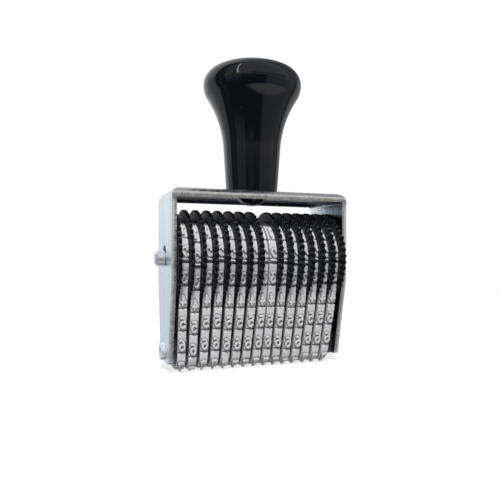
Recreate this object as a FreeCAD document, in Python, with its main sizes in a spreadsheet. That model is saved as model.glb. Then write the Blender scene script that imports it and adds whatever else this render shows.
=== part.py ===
import FreeCAD, Part
import math
import os
from types import SimpleNamespace

import Sketcher

# Hand band numberer: a bent sheet frame with a turned handle, a grooved axle with fifteen
# serrated wheels, and fifteen rubber number bands that run round the wheels and a bottom bar.
# X runs along the axle, Y from front to back, Z up. The origin lies under the middle of the
# printing face, on the plane that the characters print on. All lengths are millimetres.

SIZES = {
    # bent sheet frame
    "frame_depth": 21.0,
    "sheet_thickness": 1.3,
    "plate_roll_width": 2.6,
    "plate_roll_drop": 1.15,
    "bend_radius": 2.6,
    "inner_bend_radius": 0.6,
    "cheek_bottom_height": 2.5,
    "cheek_foot_depth": 12.0,
    "taper_start_height": 24.5,
    "cheek_corner_radius": 1.2,
    # axle and its keyholes
    "axle_diameter": 4.4,
    "axle_overhang": 2.7,
    "axle_groove_depth": 0.5,
    "axle_groove_play": 0.3,
    "axle_chamfer": 0.6,
    "keyhole_clearance": 0.15,
    "keyhole_rise": 1.3,
    "running_clearance": 0.05,
    # serrated wheels
    "wheel_spread": 0.17,
    "wheel_side_play": 0.07,
    "stack_play": 0.175,
    "flange_diameter": 26.9,
    "flange_thickness": 0.86,
    "hub_diameter": 17.4,
    "notch_diameter": 1.15,
    "notch_outset": 0.1,
    "wheel_headroom": 1.65,
    # rubber number bands
    "band_side_clearance": 0.04,
    "belt_thickness": 1.0,
    "pad_pitch": 6.06,
    "pad_height": 0.5,
    "pad_gap": 0.5,
    "character_height": 0.6,
    "character_length": 3.0,
    "character_width": 1.7,
    "character_pitch": 3.0,
    "bands_aside": 0.75,
    "seat_clearance": 0.1,
    "flange_clearance": 0.3,
    # bottom bar that the bands turn round
    "anvil_width": 9.8,
    "anvil_depth": 6.8,
    "anvil_corner_radius": 2.0,
    "bar_to_wheel_gap": 8.15,
    "tenon_rise": 2.9,
    "tenon_diameter": 3.6,
    "tenon_head_margin": 0.5,
    "tenon_head_thickness": 1.1,
    "tenon_dimple_diameter": 2.0,
    "tenon_dimple_depth": 0.5,
    # turned handle
    "handle_foot_diameter": 14.75,
    "handle_neck_diameter": 16.5,
    "handle_neck_height": 13.0,
    "handle_head_diameter": 28.25,
    "handle_head_height": 30.95,
    "handle_dome_rise": 6.95,
    "handle_shoulder_radius": 4.75,
    "handle_underside_radius": 6.2,
    # threaded bush in the handle, and its screw
    "screw_diameter": 4.0,
    "screw_head_margin": 2.3,
    "screw_head_height": 2.3,
    "screw_slot_width": 1.0,
    "screw_slot_depth": 0.9,
    "screw_hole_clearance": 0.2,
    "screw_end_room": 2.5,
    "bush_wall": 1.2,
    "bush_length": 11.0,
    "bush_groove_depth": 0.4,
    "bush_groove_width": 1.6,
    "bore_end_room": 2.0,
    "cut_overrun": 2.0,
}

BAND_COUNT = 15
PAD_COUNT = 15
LEFT_FLANGE_COUNT = 8
TOOTH_COUNT = 46
FULL_TURN = 360.0
HALF_TURN = 180.0
TO_THE_LEFT = 1
TO_THE_RIGHT = -1
NEARNESS_SHARE = 0.1


class Size:
    """A length that carries its number and the sheet expression that gives it."""

    def __init__(self, value, text):
        self.value = value
        self.text = text

    def __add__(self, other):
        other = as_size(other)
        return Size(self.value + other.value, f"({self.text} + {other.text})")

    def __sub__(self, other):
        other = as_size(other)
        return Size(self.value - other.value, f"({self.text} - {other.text})")

    def __mul__(self, other):
        other = as_size(other)
        return Size(self.value * other.value, f"({self.text} * {other.text})")

    def __truediv__(self, other):
        other = as_size(other)
        return Size(self.value / other.value, f"({self.text} / {other.text})")

    def __neg__(self):
        return Size(-self.value, f"(0 - {self.text})")


def as_size(number):
    """Give a plain count or share the same form as a length."""
    if isinstance(number, Size):
        return number
    return Size(float(number), repr(number))


def root_of(size):
    """Square root of a product of two lengths."""
    return Size(math.sqrt(size.value), f"sqrt({size.text})")


def write_sizes(document, sizes):
    """Fill the spreadsheet with one named cell per driving length."""
    sheet = document.addObject("Spreadsheet::Sheet", "Sizes")
    for row, (name, value) in enumerate(sizes.items(), start=1):
        sheet.set(f"A{row}", name)
        sheet.set(f"B{row}", str(value))
        sheet.setAlias(f"B{row}", name)
    document.recompute()
    named = {name: Size(sheet.get(name), f"{sheet.Name}.{name}") for name in sizes}
    return SimpleNamespace(**named)


document = FreeCAD.newDocument("BandNumberer")
dim = write_sizes(document, SIZES)
ZERO = Size(0.0, "0")

# The stack of wheels gives the frame its width.
wheel_pitch = dim.character_pitch + dim.wheel_spread
inner_half_width = wheel_pitch * BAND_COUNT / 2 + dim.stack_play
half_width = inner_half_width + dim.sheet_thickness
frame_width = half_width * 2
half_depth = dim.frame_depth / 2

# Going up from the paper: the bottom bar, the axle, the plate.
hub_radius = dim.hub_diameter / 2
flange_radius = dim.flange_diameter / 2
anvil_bottom = dim.character_height + dim.pad_height + dim.belt_thickness + dim.seat_clearance
anvil_top = anvil_bottom + dim.anvil_depth
tenon_height = anvil_bottom + dim.tenon_rise
axle_height = anvil_top + dim.bar_to_wheel_gap + flange_radius
plate_underside = axle_height + flange_radius + dim.wheel_headroom + dim.screw_head_height
plate_top_height = plate_underside + dim.sheet_thickness
lip_height = plate_underside - dim.plate_roll_drop

# What runs, fits or turns in something else takes its size from it.
axle_radius = dim.axle_diameter / 2
groove_radius = axle_radius - dim.axle_groove_depth
tenon_radius = dim.tenon_diameter / 2
screw_radius = dim.screw_diameter / 2
bush_radius = screw_radius + dim.bush_wall
hub_length = wheel_pitch - dim.flange_thickness - dim.wheel_side_play
band_width = hub_length - dim.band_side_clearance * 2
parts = []


def new_body(label):
    """Start a body that will be written to a file of its own."""
    body = document.addObject("PartDesign::Body", label)
    body.Label = label
    parts.append(body)
    return body


def place(body, across=ZERO, up=ZERO):
    """Put a body at driving distances along X and Z from the origin."""
    for axis, distance in (("x", across), ("z", up)):
        if distance is not ZERO:
            body.setExpression(f"Placement.Base.{axis}", distance.text)


def origin_feature(body, role):
    """Find one of the body's own origin planes or axes."""
    for feature in body.Origin.OriginFeatures:
        if feature.Role == role:
            return feature
    raise ValueError(f"{body.Label} has no {role}")


def new_sketch(body, role, name):
    """Attach an empty sketch to an origin plane of its body."""
    sketch = body.newObject("Sketcher::SketchObject", f"{body.Label}_{name}")
    sketch.AttachmentSupport = (origin_feature(body, role), [""])
    sketch.MapMode = "FlatFace"
    return sketch


def pin(sketch, geometry, point, across, up):
    """Hold one point of the sketch at two driving distances from its origin."""
    for kind, axis, distance in (("DistanceX", -2, across), ("DistanceY", -1, up)):
        if distance is ZERO:
            sketch.addConstraint(Sketcher.Constraint("PointOnObject", geometry, point, axis))
        else:
            index = sketch.addConstraint(
                Sketcher.Constraint(kind, -1, 1, geometry, point, distance.value)
            )
            sketch.setExpression(f"Constraints[{index}]", distance.text)


def hold_radius(sketch, geometry, radius):
    """Bind the radius of an arc or circle to a driving length."""
    index = sketch.addConstraint(Sketcher.Constraint("Radius", geometry, radius.value))
    sketch.setExpression(f"Constraints[{index}]", radius.text)


def draw_circle(sketch, across, up, radius):
    """Draw a circle held by its middle and its radius."""
    centre = FreeCAD.Vector(across.value, up.value, 0)
    circle = Part.Circle(centre, FreeCAD.Vector(0, 0, 1), radius.value)
    geometry = sketch.addGeometry(circle, False)
    pin(sketch, geometry, 3, across, up)
    hold_radius(sketch, geometry, radius)


def arc_between(start, end, radius, side):
    """Arc under a half circle; its middle lies left (1) or right (-1) of the way from start to end."""
    chord = end - start
    along = chord.Length / 2
    rise = math.sqrt(max(radius * radius - along * along, 0.0))
    normal = FreeCAD.Vector(-chord.y, chord.x, 0).normalize()
    centre = (start + end) * 0.5 + normal * (side * rise)
    first, last = (start, end) if side > 0 else (end, start)
    begin = math.atan2(first.y - centre.y, first.x - centre.x)
    finish = math.atan2(last.y - centre.y, last.x - centre.x)
    circle = Part.Circle(centre, FreeCAD.Vector(0, 0, 1), radius)
    return Part.ArcOfCircle(circle, begin, finish)


def draw_outline(sketch, corners, arcs=None):
    """Closed outline through pinned corners; arcs gives a side's radius and the side of its middle."""
    arcs = arcs or {}
    points = [FreeCAD.Vector(across.value, up.value, 0) for across, up in corners]
    ends = []
    for index, start in enumerate(points):
        end = points[(index + 1) % len(points)]
        if index in arcs:
            radius, side = arcs[index]
            geometry = sketch.addGeometry(arc_between(start, end, radius.value, side), False)
            ends.append((geometry, 1, 2) if side > 0 else (geometry, 2, 1))
        else:
            geometry = sketch.addGeometry(Part.LineSegment(start, end), False)
            ends.append((geometry, 1, 2))
    for index, (geometry, _, tail) in enumerate(ends):
        following, head, _ = ends[(index + 1) % len(ends)]
        sketch.addConstraint(Sketcher.Constraint("Coincident", geometry, tail, following, head))
    for (geometry, head, _), (across, up) in zip(ends, corners):
        pin(sketch, geometry, head, across, up)
    for index, (radius, _) in arcs.items():
        hold_radius(sketch, ends[index][0], radius)
    return ends


def pad(body, sketch, length, name, symmetric=True):
    """Raise a sketch to a solid, to both sides alike unless told otherwise."""
    feature = body.newObject("PartDesign::Pad", f"{body.Label}_{name}")
    feature.Profile = sketch
    feature.SideType = "Symmetric" if symmetric else "One side"
    feature.setExpression("Length", length.text)
    return feature


def pocket(body, sketch, length, name, symmetric=True, reverse=False):
    """Cut a sketch out of the solid and make sure that it took something away."""
    document.recompute()
    before = body.Tip.Shape.Volume
    feature = body.newObject("PartDesign::Pocket", f"{body.Label}_{name}")
    feature.Profile = sketch
    feature.SideType = "Symmetric" if symmetric else "One side"
    feature.Reversed = reverse
    feature.setExpression("Length", length.text)
    document.recompute()
    if feature.Shape.Volume >= before:
        raise ValueError(f"{feature.Label} cuts nothing")
    return feature


def turn(body, sketch, axis, name):
    """Turn a half outline about one of its sketch's own axes."""
    feature = body.newObject("PartDesign::Revolution", f"{body.Label}_{name}")
    feature.Profile = sketch
    feature.ReferenceAxis = (sketch, [axis])
    feature.Angle = FULL_TURN
    return feature


def round_edges(body, radius, name, chosen):
    """Round the edges of the body that the given test picks."""
    document.recompute()
    base = body.Tip
    edges = [
        f"Edge{index}" for index, edge in enumerate(base.Shape.Edges, start=1) if chosen(edge)
    ]
    feature = body.newObject("PartDesign::Fillet", f"{body.Label}_{name}")
    feature.Base = (base, edges)
    feature.setExpression("Radius", radius.text)
    return feature


def clone_of(source, label, across, turned=False):
    """Another copy of a finished piece, moved along the axle and turned end for end if asked."""
    body = new_body(label)
    feature = document.addObject("PartDesign::FeatureBase", f"{label}_copy")
    feature.BaseFeature = source
    body.Group = [feature]
    body.Tip = feature
    if turned:
        body.Placement.Rotation = FreeCAD.Rotation(FreeCAD.Vector(0, 0, 1), HALF_TURN)
    place(body, across=across, up=axle_height)
    return body


def build_frame():
    """One bent strip: a top plate with rolled edges and two tapering cheeks."""
    body = new_body("frame")
    bend_start = plate_top_height - dim.bend_radius
    inner_bend_start = lip_height - dim.inner_bend_radius
    strip = new_sketch(body, "XZ_Plane", "strip")
    corners = [
        (-half_width, dim.cheek_bottom_height),
        (-half_width, bend_start),
        (-half_width + dim.bend_radius, plate_top_height),
        (half_width - dim.bend_radius, plate_top_height),
        (half_width, bend_start),
        (half_width, dim.cheek_bottom_height),
        (inner_half_width, dim.cheek_bottom_height),
        (inner_half_width, inner_bend_start),
        (inner_half_width - dim.inner_bend_radius, lip_height),
        (-inner_half_width + dim.inner_bend_radius, lip_height),
        (-inner_half_width, inner_bend_start),
        (-inner_half_width, dim.cheek_bottom_height),
    ]
    bends = {
        1: (dim.bend_radius, TO_THE_RIGHT),
        3: (dim.bend_radius, TO_THE_RIGHT),
        7: (dim.inner_bend_radius, TO_THE_LEFT),
        9: (dim.inner_bend_radius, TO_THE_LEFT),
    }
    draw_outline(strip, corners, bends)
    pad(body, strip, dim.frame_depth, "bent_strip")
    cut_plate_hollow(body)
    cut_rolled_edges(body)
    cut_cheek_tapers(body)
    cut_keyholes(body)
    cut_round_holes(body)
    round_edges(body, dim.cheek_corner_radius, "cheek_corners", is_cheek_corner)
    return body


def roll_radius():
    """Outer radius of the rolled edge, tangent to the flat of the plate."""
    width = dim.plate_roll_width
    drop = dim.plate_roll_drop
    return (width * width + drop * drop) / (drop * 2)


def cut_plate_hollow(body):
    """Raise the plate's underside between the two rolled edges."""
    outer = roll_radius()
    inner = outer - dim.sheet_thickness
    roll_start = half_depth - dim.plate_roll_width
    centre_height = plate_top_height - outer
    fall = lip_height - centre_height
    lip = roll_start + root_of(inner * inner - fall * fall)
    sketch = new_sketch(body, "YZ_Plane", "hollow")
    corners = [
        (-lip, lip_height),
        (-roll_start, plate_underside),
        (roll_start, plate_underside),
        (lip, lip_height),
    ]
    draw_outline(sketch, corners, {0: (inner, TO_THE_RIGHT), 2: (inner, TO_THE_RIGHT)})
    pocket(body, sketch, (inner_half_width - dim.inner_bend_radius) * 2, "underside")


def cut_rolled_edges(body):
    """Roll the front and back edges of the plate down."""
    outer = roll_radius()
    roll_start = half_depth - dim.plate_roll_width
    edge_height = plate_top_height - dim.plate_roll_drop
    above = plate_top_height + dim.cut_overrun
    beyond = half_depth + dim.cut_overrun
    for name, sign, side in (("back", 1, TO_THE_LEFT), ("front", -1, TO_THE_RIGHT)):
        sketch = new_sketch(body, "YZ_Plane", f"{name}_roll")
        corners = [
            (half_depth * sign, edge_height),
            (roll_start * sign, plate_top_height),
            (roll_start * sign, above),
            (beyond * sign, above),
            (beyond * sign, edge_height),
        ]
        draw_outline(sketch, corners, {0: (outer, side)})
        pocket(body, sketch, frame_width, f"{name}_rolled_edge")


def cut_cheek_tapers(body):
    """Taper both cheeks towards their feet, at the front and at the back."""
    foot = dim.cheek_foot_depth / 2
    slope = (half_depth - foot) / (dim.taper_start_height - dim.cheek_bottom_height)
    below = dim.cheek_bottom_height - dim.cut_overrun
    foot_below = foot - slope * dim.cut_overrun
    beyond = half_depth + dim.cut_overrun
    for name, sign in (("back", 1), ("front", -1)):
        sketch = new_sketch(body, "YZ_Plane", f"{name}_taper")
        corners = [
            (foot_below * sign, below),
            (beyond * sign, below),
            (beyond * sign, dim.taper_start_height),
            (half_depth * sign, dim.taper_start_height),
        ]
        draw_outline(sketch, corners)
        pocket(body, sketch, frame_width, f"{name}_cheek_taper")


def cut_keyholes(body):
    """A wide hole to pass the axle, running down into the slot that grips its groove."""
    slot = groove_radius + dim.running_clearance
    centre = axle_height + dim.keyhole_rise
    wide = new_sketch(body, "YZ_Plane", "keyhole_top")
    draw_circle(wide, ZERO, centre, axle_radius + dim.keyhole_clearance)
    pocket(body, wide, frame_width, "keyhole_wide")
    narrow = new_sketch(body, "YZ_Plane", "keyhole_slot")
    corners = [
        (-slot, axle_height),
        (ZERO, axle_height - slot),
        (slot, axle_height),
        (slot, centre),
        (-slot, centre),
    ]
    draw_outline(narrow, corners, {0: (slot, TO_THE_LEFT), 1: (slot, TO_THE_LEFT)})
    pocket(body, narrow, frame_width, "keyhole_narrow")


def cut_round_holes(body):
    """Holes for the bar's tenons in the cheeks, and for the screw in the plate."""
    tenon = new_sketch(body, "YZ_Plane", "tenon_hole")
    draw_circle(tenon, ZERO, tenon_height, tenon_radius + dim.running_clearance)
    pocket(body, tenon, frame_width, "tenon_holes")
    screw = new_sketch(body, "XY_Plane", "screw_hole")
    draw_circle(screw, ZERO, ZERO, screw_radius + dim.screw_hole_clearance)
    height = plate_top_height + dim.cut_overrun
    pocket(body, screw, height, "screw_hole_cut", symmetric=False, reverse=True)


def is_cheek_corner(edge):
    """Tell the four short edges along X at the feet of the cheeks from all others."""
    box = edge.BoundBox
    near = dim.sheet_thickness.value * NEARNESS_SHARE
    spans_sheet = abs(box.XLength - dim.sheet_thickness.value) < near
    at_foot = abs(box.ZMax - dim.cheek_bottom_height.value) < near
    return spans_sheet and at_foot and box.YLength < near


def build_axle():
    """A plain axle with a groove for each cheek and chamfered ends."""
    body = new_body("axle")
    rim = axle_radius
    end = half_width + dim.axle_overhang
    outer = half_width + dim.axle_groove_play / 2
    inner = inner_half_width - dim.axle_groove_play / 2
    half = [
        (end, ZERO),
        (end, rim - dim.axle_chamfer),
        (end - dim.axle_chamfer, rim),
        (outer, rim),
        (outer, groove_radius),
        (inner, groove_radius),
        (inner, rim),
    ]
    mirrored = [(-across, up) for across, up in reversed(half)]
    sketch = new_sketch(body, "XZ_Plane", "half_outline")
    draw_outline(sketch, half + mirrored)
    turn(body, sketch, "H_Axis", "turned")
    place(body, up=axle_height)
    return body


def build_wheel():
    """One wheel: a notched thumb flange beside the smooth hub that carries the band."""
    body = new_body("wheel_01")
    bore = axle_radius + dim.running_clearance
    left = (dim.wheel_side_play - wheel_pitch) / 2
    step = left + dim.flange_thickness
    right = step + hub_length
    sketch = new_sketch(body, "XZ_Plane", "half_outline")
    corners = [
        (left, bore),
        (left, flange_radius),
        (step, flange_radius),
        (step, hub_radius),
        (right, hub_radius),
        (right, bore),
    ]
    draw_outline(sketch, corners)
    turn(body, sketch, "H_Axis", "turned")
    document.recompute()
    notch_sketch = new_sketch(body, "YZ_Plane", "notch_outline")
    draw_circle(notch_sketch, ZERO, flange_radius + dim.notch_outset, dim.notch_diameter / 2)
    notch = pocket(body, notch_sketch, wheel_pitch * 2, "notch")
    pattern = body.newObject("PartDesign::PolarPattern", "wheel_01_notches")
    pattern.Originals = [notch]
    pattern.Axis = (origin_feature(body, "X_Axis"), [""])
    pattern.Angle = FULL_TURN
    pattern.Occurrences = TOOTH_COUNT
    body.Tip = pattern
    place(body, across=wheel_place(0), up=axle_height)
    return body


def wheel_place(index):
    """Distance of a wheel's middle from the middle of the stack."""
    return wheel_pitch * (index - (BAND_COUNT - 1) / 2)


def build_wheels():
    """Fifteen like wheels; the last seven sit the other way round."""
    first = build_wheel()
    for index in range(1, BAND_COUNT):
        label = f"wheel_{index + 1:02d}"
        clone_of(first, label, wheel_place(index), turned=index >= LEFT_FLANGE_COUNT)


def build_anvil():
    """The bottom bar: a rounded bar with a peened tenon through each cheek."""
    body = new_body("anvil")
    half = dim.anvil_width / 2
    radius = dim.anvil_corner_radius
    top = anvil_top
    bar = new_sketch(body, "YZ_Plane", "section")
    corners = [
        (-half, top),
        (-half, anvil_bottom + radius),
        (-half + radius, anvil_bottom),
        (half - radius, anvil_bottom),
        (half, anvil_bottom + radius),
        (half, top),
    ]
    draw_outline(bar, corners, {1: (radius, TO_THE_LEFT), 3: (radius, TO_THE_LEFT)})
    pad(body, bar, inner_half_width * 2, "bar")
    tenon = new_sketch(body, "YZ_Plane", "tenon")
    draw_circle(tenon, ZERO, tenon_height, tenon_radius)
    pad(body, tenon, frame_width, "tenons")
    add_tenon_heads(body)
    return body


def add_tenon_heads(body):
    """Peened heads outside the cheeks, each with a punched dimple."""
    face = half_width + dim.tenon_head_thickness
    for name, sign in (("right", 1), ("left", -1)):
        head = new_sketch(body, "YZ_Plane", f"{name}_head")
        head.setExpression("AttachmentOffset.Base.z", (half_width * sign).text)
        draw_circle(head, ZERO, tenon_height, tenon_radius + dim.tenon_head_margin)
        raised = pad(body, head, dim.tenon_head_thickness, f"{name}_head_pad", symmetric=False)
        raised.Reversed = sign < 0
        dimple = new_sketch(body, "YZ_Plane", f"{name}_dimple")
        dimple.setExpression("AttachmentOffset.Base.z", (face * sign).text)
        draw_circle(dimple, ZERO, tenon_height, dim.tenon_dimple_diameter / 2)
        document.recompute()
        depth = dim.tenon_dimple_depth
        pocket(body, dimple, depth, f"{name}_dimple_cut", symmetric=False, reverse=sign < 0)


def build_handle():
    """Turned handle: tapered stem, hollow neck curve, domed head, and a bore for the bush."""
    body = new_body("handle")
    foot = dim.handle_foot_diameter / 2
    neck = dim.handle_neck_diameter / 2
    head = dim.handle_head_diameter / 2
    bore = bush_radius + dim.running_clearance
    depth = dim.bush_length + dim.bore_end_room
    widest = dim.handle_head_height
    top = widest + dim.handle_dome_rise
    sketch = new_sketch(body, "XZ_Plane", "half_outline")
    radii, joints = handle_curves(foot, neck, head, top)
    vector = FreeCAD.Vector
    stem_foot = vector(foot.value, 0, 0)
    stem_top = vector(neck.value, dim.handle_neck_height.value, 0)
    rim = vector(head.value, widest.value, 0)
    crown = vector(0, top.value, 0)
    bore_top = vector(0, depth.value, 0)
    bore_edge = vector(bore.value, depth.value, 0)
    bore_foot = vector(bore.value, 0, 0)
    sketch.addGeometry(Part.LineSegment(bore_foot, stem_foot), False)
    sketch.addGeometry(Part.LineSegment(stem_foot, stem_top), False)
    sketch.addGeometry(arc_between(stem_top, joints[0], radii[0], TO_THE_RIGHT), False)
    sketch.addGeometry(arc_between(joints[0], rim, radii[1], TO_THE_LEFT), False)
    sketch.addGeometry(arc_between(rim, joints[1], radii[2], TO_THE_LEFT), False)
    sketch.addGeometry(arc_between(joints[1], crown, radii[3], TO_THE_LEFT), False)
    sketch.addGeometry(Part.LineSegment(crown, bore_top), False)
    sketch.addGeometry(Part.LineSegment(bore_top, bore_edge), False)
    sketch.addGeometry(Part.LineSegment(bore_edge, bore_foot), False)
    join_handle_outline(sketch)
    pin(sketch, 0, 1, bore, ZERO)
    pin(sketch, 1, 1, foot, ZERO)
    pin(sketch, 1, 2, neck, dim.handle_neck_height)
    pin(sketch, 4, 1, head, widest)
    pin(sketch, 6, 1, ZERO, top)
    pin(sketch, 7, 1, ZERO, depth)
    pin(sketch, 8, 1, bore, depth)
    hold_radius(sketch, 3, dim.handle_underside_radius)
    hold_radius(sketch, 4, dim.handle_shoulder_radius)
    turn(body, sketch, "V_Axis", "turned")
    place(body, up=plate_top_height)
    return body


def handle_curves(foot, neck, head, top):
    """Radii of the four tangent arcs of the handle's outline, and the two points where they join."""
    vector = FreeCAD.Vector
    stem_top = vector(neck.value, dim.handle_neck_height.value, 0)
    along = (stem_top - vector(foot.value, 0, 0)).normalize()
    outward = vector(along.y, -along.x, 0)
    widest = dim.handle_head_height.value
    under = dim.handle_underside_radius.value
    under_centre = vector(head.value - under, widest, 0)
    reach = stem_top - under_centre
    hollow = (reach.Length ** 2 - under ** 2) / (2 * (under - reach.dot(outward)))
    hollow_centre = stem_top + outward * hollow
    share = hollow / (hollow + under)
    first_joint = hollow_centre + (under_centre - hollow_centre) * share
    shoulder = dim.handle_shoulder_radius.value
    shoulder_centre = vector(head.value - shoulder, widest, 0)
    rise = top.value - widest
    gap = shoulder_centre.x ** 2 + rise ** 2 - shoulder ** 2
    dome = gap / (2 * (rise - shoulder))
    dome_centre = vector(0, top.value - dome, 0)
    share = dome / (dome - shoulder)
    second_joint = dome_centre + (shoulder_centre - dome_centre) * share
    return [hollow, under, shoulder, dome], [first_joint, second_joint]


def join_handle_outline(sketch):
    """Join the handle's nine sides and make its arcs run smoothly into each other."""
    constraint = Sketcher.Constraint
    sketch.addConstraint(constraint("Coincident", 0, 2, 1, 1))
    sketch.addConstraint(constraint("Tangent", 1, 2, 2, 2))
    sketch.addConstraint(constraint("Tangent", 2, 1, 3, 1))
    sketch.addConstraint(constraint("Coincident", 3, 2, 4, 1))
    sketch.addConstraint(constraint("Tangent", 4, 2, 5, 1))
    sketch.addConstraint(constraint("Coincident", 5, 2, 6, 1))
    sketch.addConstraint(constraint("Coincident", 6, 2, 7, 1))
    sketch.addConstraint(constraint("Coincident", 7, 2, 8, 1))
    sketch.addConstraint(constraint("Coincident", 8, 2, 0, 1))
    sketch.addConstraint(constraint("Horizontal", 3, 3, 3, 2))
    sketch.addConstraint(constraint("Horizontal", 4, 3, 4, 1))
    sketch.addConstraint(constraint("PointOnObject", 5, 3, -2))


def build_handle_bush():
    """Threaded metal bush in the foot of the handle, with a grip groove round it."""
    body = new_body("handle_bush")
    rim = bush_radius
    bore = screw_radius + dim.running_clearance
    waist = rim - dim.bush_groove_depth
    low = (dim.bush_length - dim.bush_groove_width) / 2
    high = low + dim.bush_groove_width
    sketch = new_sketch(body, "XZ_Plane", "half_outline")
    corners = [
        (bore, ZERO),
        (rim, ZERO),
        (rim, low),
        (waist, low),
        (waist, high),
        (rim, high),
        (rim, dim.bush_length),
        (bore, dim.bush_length),
    ]
    draw_outline(sketch, corners)
    turn(body, sketch, "V_Axis", "turned")
    place(body, up=plate_top_height)
    return body


def build_handle_screw():
    """Slotted dome-head screw that holds the handle from under the plate."""
    body = new_body("handle_screw")
    shank = screw_radius
    rim = shank + dim.screw_head_margin
    height = dim.screw_head_height
    end = height + dim.sheet_thickness + dim.bush_length - dim.screw_end_room
    dome = (rim * rim + height * height) / (height * 2)
    sketch = new_sketch(body, "XZ_Plane", "half_outline")
    corners = [
        (ZERO, ZERO),
        (rim, height),
        (shank, height),
        (shank, end),
        (ZERO, end),
    ]
    draw_outline(sketch, corners, {0: (dome, TO_THE_LEFT)})
    turn(body, sketch, "V_Axis", "turned")
    document.recompute()
    slot = new_sketch(body, "XY_Plane", "slot")
    long = rim + dim.cut_overrun
    wide = dim.screw_slot_width / 2
    draw_outline(slot, [(-long, -wide), (long, -wide), (long, wide), (-long, wide)])
    pocket(body, slot, dim.screw_slot_depth, "driver_slot", symmetric=False, reverse=True)
    place(body, up=plate_underside - height)
    return body


class BandPath:
    """The closed way of a band in the Y-Z plane: over the hub, down both runs, round the bar."""

    def __init__(self):
        self.hub = FreeCAD.Vector(0, 0, axle_height.value)
        self.seat = hub_radius.value + dim.seat_clearance.value
        corner = dim.anvil_corner_radius.value
        self.bend = corner + dim.seat_clearance.value
        self.flat = dim.anvil_width.value / 2 - corner
        self.turn_height = anvil_bottom.value + corner
        drop = self.hub.z - self.turn_height
        self.lean = math.asin((self.seat - self.bend) / math.hypot(drop, self.flat))
        self.lean -= math.atan2(self.flat, drop)
        self.outward = FreeCAD.Vector(0, math.cos(self.lean), -math.sin(self.lean))
        self.corner = FreeCAD.Vector(0, self.flat, self.turn_height)
        middle = dim.belt_thickness.value / 2
        run = (self.hub + self.outward * self.seat) - (self.corner + self.outward * self.bend)
        self.run = run.Length
        self.bend_length = (self.bend + middle) * (math.pi / 2 - self.lean)
        self.wrap_length = (self.seat + middle) * (math.pi / 2 + self.lean)
        self.half_length = self.flat + self.bend_length + self.run + self.wrap_length

    def station(self, distance):
        """Point on the band's inner face and its outward direction, from the bottom middle on."""
        side = 1 if distance >= 0 else -1
        left = abs(distance)
        if left <= self.flat:
            point = FreeCAD.Vector(0, left, self.turn_height - self.bend)
            normal = FreeCAD.Vector(0, 0, -1)
        elif left <= self.flat + self.bend_length:
            angle = (left - self.flat) / self.bend_length * (math.pi / 2 - self.lean)
            normal = FreeCAD.Vector(0, math.sin(angle), -math.cos(angle))
            point = self.corner + normal * self.bend
        elif left <= self.flat + self.bend_length + self.run:
            share = (left - self.flat - self.bend_length) / self.run
            normal = FreeCAD.Vector(self.outward)
            start = self.corner + normal * self.bend
            point = start + (self.hub + normal * self.seat - start) * share
        else:
            angle = (left - self.half_length) / self.wrap_length * (math.pi / 2 + self.lean)
            normal = FreeCAD.Vector(0, -math.sin(angle), math.cos(angle))
            point = self.hub + normal * self.seat
        return FreeCAD.Vector(0, side * point.y, point.z), FreeCAD.Vector(0, side * normal.y, normal.z)

    def face(self, offset):
        """Face inside the closed way, set outwards by an offset."""
        seat = self.seat + offset
        bend = self.bend + offset
        mirrored = FreeCAD.Vector(0, -self.outward.y, self.outward.z)
        left_corner = FreeCAD.Vector(0, -self.flat, self.turn_height)
        down = FreeCAD.Vector(0, 0, -bend)
        slanted = math.sin((math.pi / 2 - self.lean) / 2)
        sunk = math.cos((math.pi / 2 - self.lean) / 2)
        top = self.hub + FreeCAD.Vector(0, 0, seat)
        right_top = self.hub + self.outward * seat
        left_top = self.hub + mirrored * seat
        right_foot = self.corner + self.outward * bend
        left_foot = left_corner + mirrored * bend
        right_turn = self.corner + FreeCAD.Vector(0, slanted, -sunk) * bend
        left_turn = left_corner + FreeCAD.Vector(0, -slanted, -sunk) * bend
        edges = [
            Part.Arc(left_top, top, right_top).toShape(),
            Part.makeLine(right_top, right_foot),
            Part.Arc(right_foot, right_turn, self.corner + down).toShape(),
            Part.makeLine(self.corner + down, left_corner + down),
            Part.Arc(left_corner + down, left_turn, left_foot).toShape(),
            Part.makeLine(left_foot, left_top),
        ]
        return Part.Face(Part.Wire(edges))

    def ring(self, inner, outer, width):
        """Solid ring between two offsets, centred on X."""
        section = self.face(outer).cut(self.face(inner))
        solid = section.extrude(FreeCAD.Vector(width, 0, 0))
        solid.translate(FreeCAD.Vector(-width / 2, 0, 0))
        return solid

    def block(self, distance, across, along, low, high):
        """Box standing on the band's inner face, between two heights, square to the way."""
        point, normal = self.station(distance)
        box = Part.makeBox(across, along, high - low)
        box.translate(FreeCAD.Vector(-across / 2, -along / 2, low))
        box.Placement = FreeCAD.Placement(
            point, FreeCAD.Rotation(FreeCAD.Vector(0, 0, 1), normal)
        ).multiply(box.Placement)
        return box


def band_stock(path):
    """Grooved belt and its characters, both drawn out along X for every band to be cut from."""
    length = frame_width.value
    belt = dim.belt_thickness.value
    pad_top = belt + dim.pad_height.value
    type_top = pad_top + dim.character_height.value
    over = dim.cut_overrun.value
    pitch = dim.pad_pitch.value
    edges = [(index - PAD_COUNT / 2) * pitch for index in range(PAD_COUNT + 1)]
    middles = [edge + pitch / 2 for edge in edges[:-1]]
    grooves = [
        path.block(edge, length + over, dim.pad_gap.value, belt, pad_top + over) for edge in edges
    ]
    characters = [
        path.block(middle, length, dim.character_length.value, belt, type_top)
        for middle in middles
    ]
    return path.ring(0, pad_top, length).cut(grooves), Part.makeCompound(characters)


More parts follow.
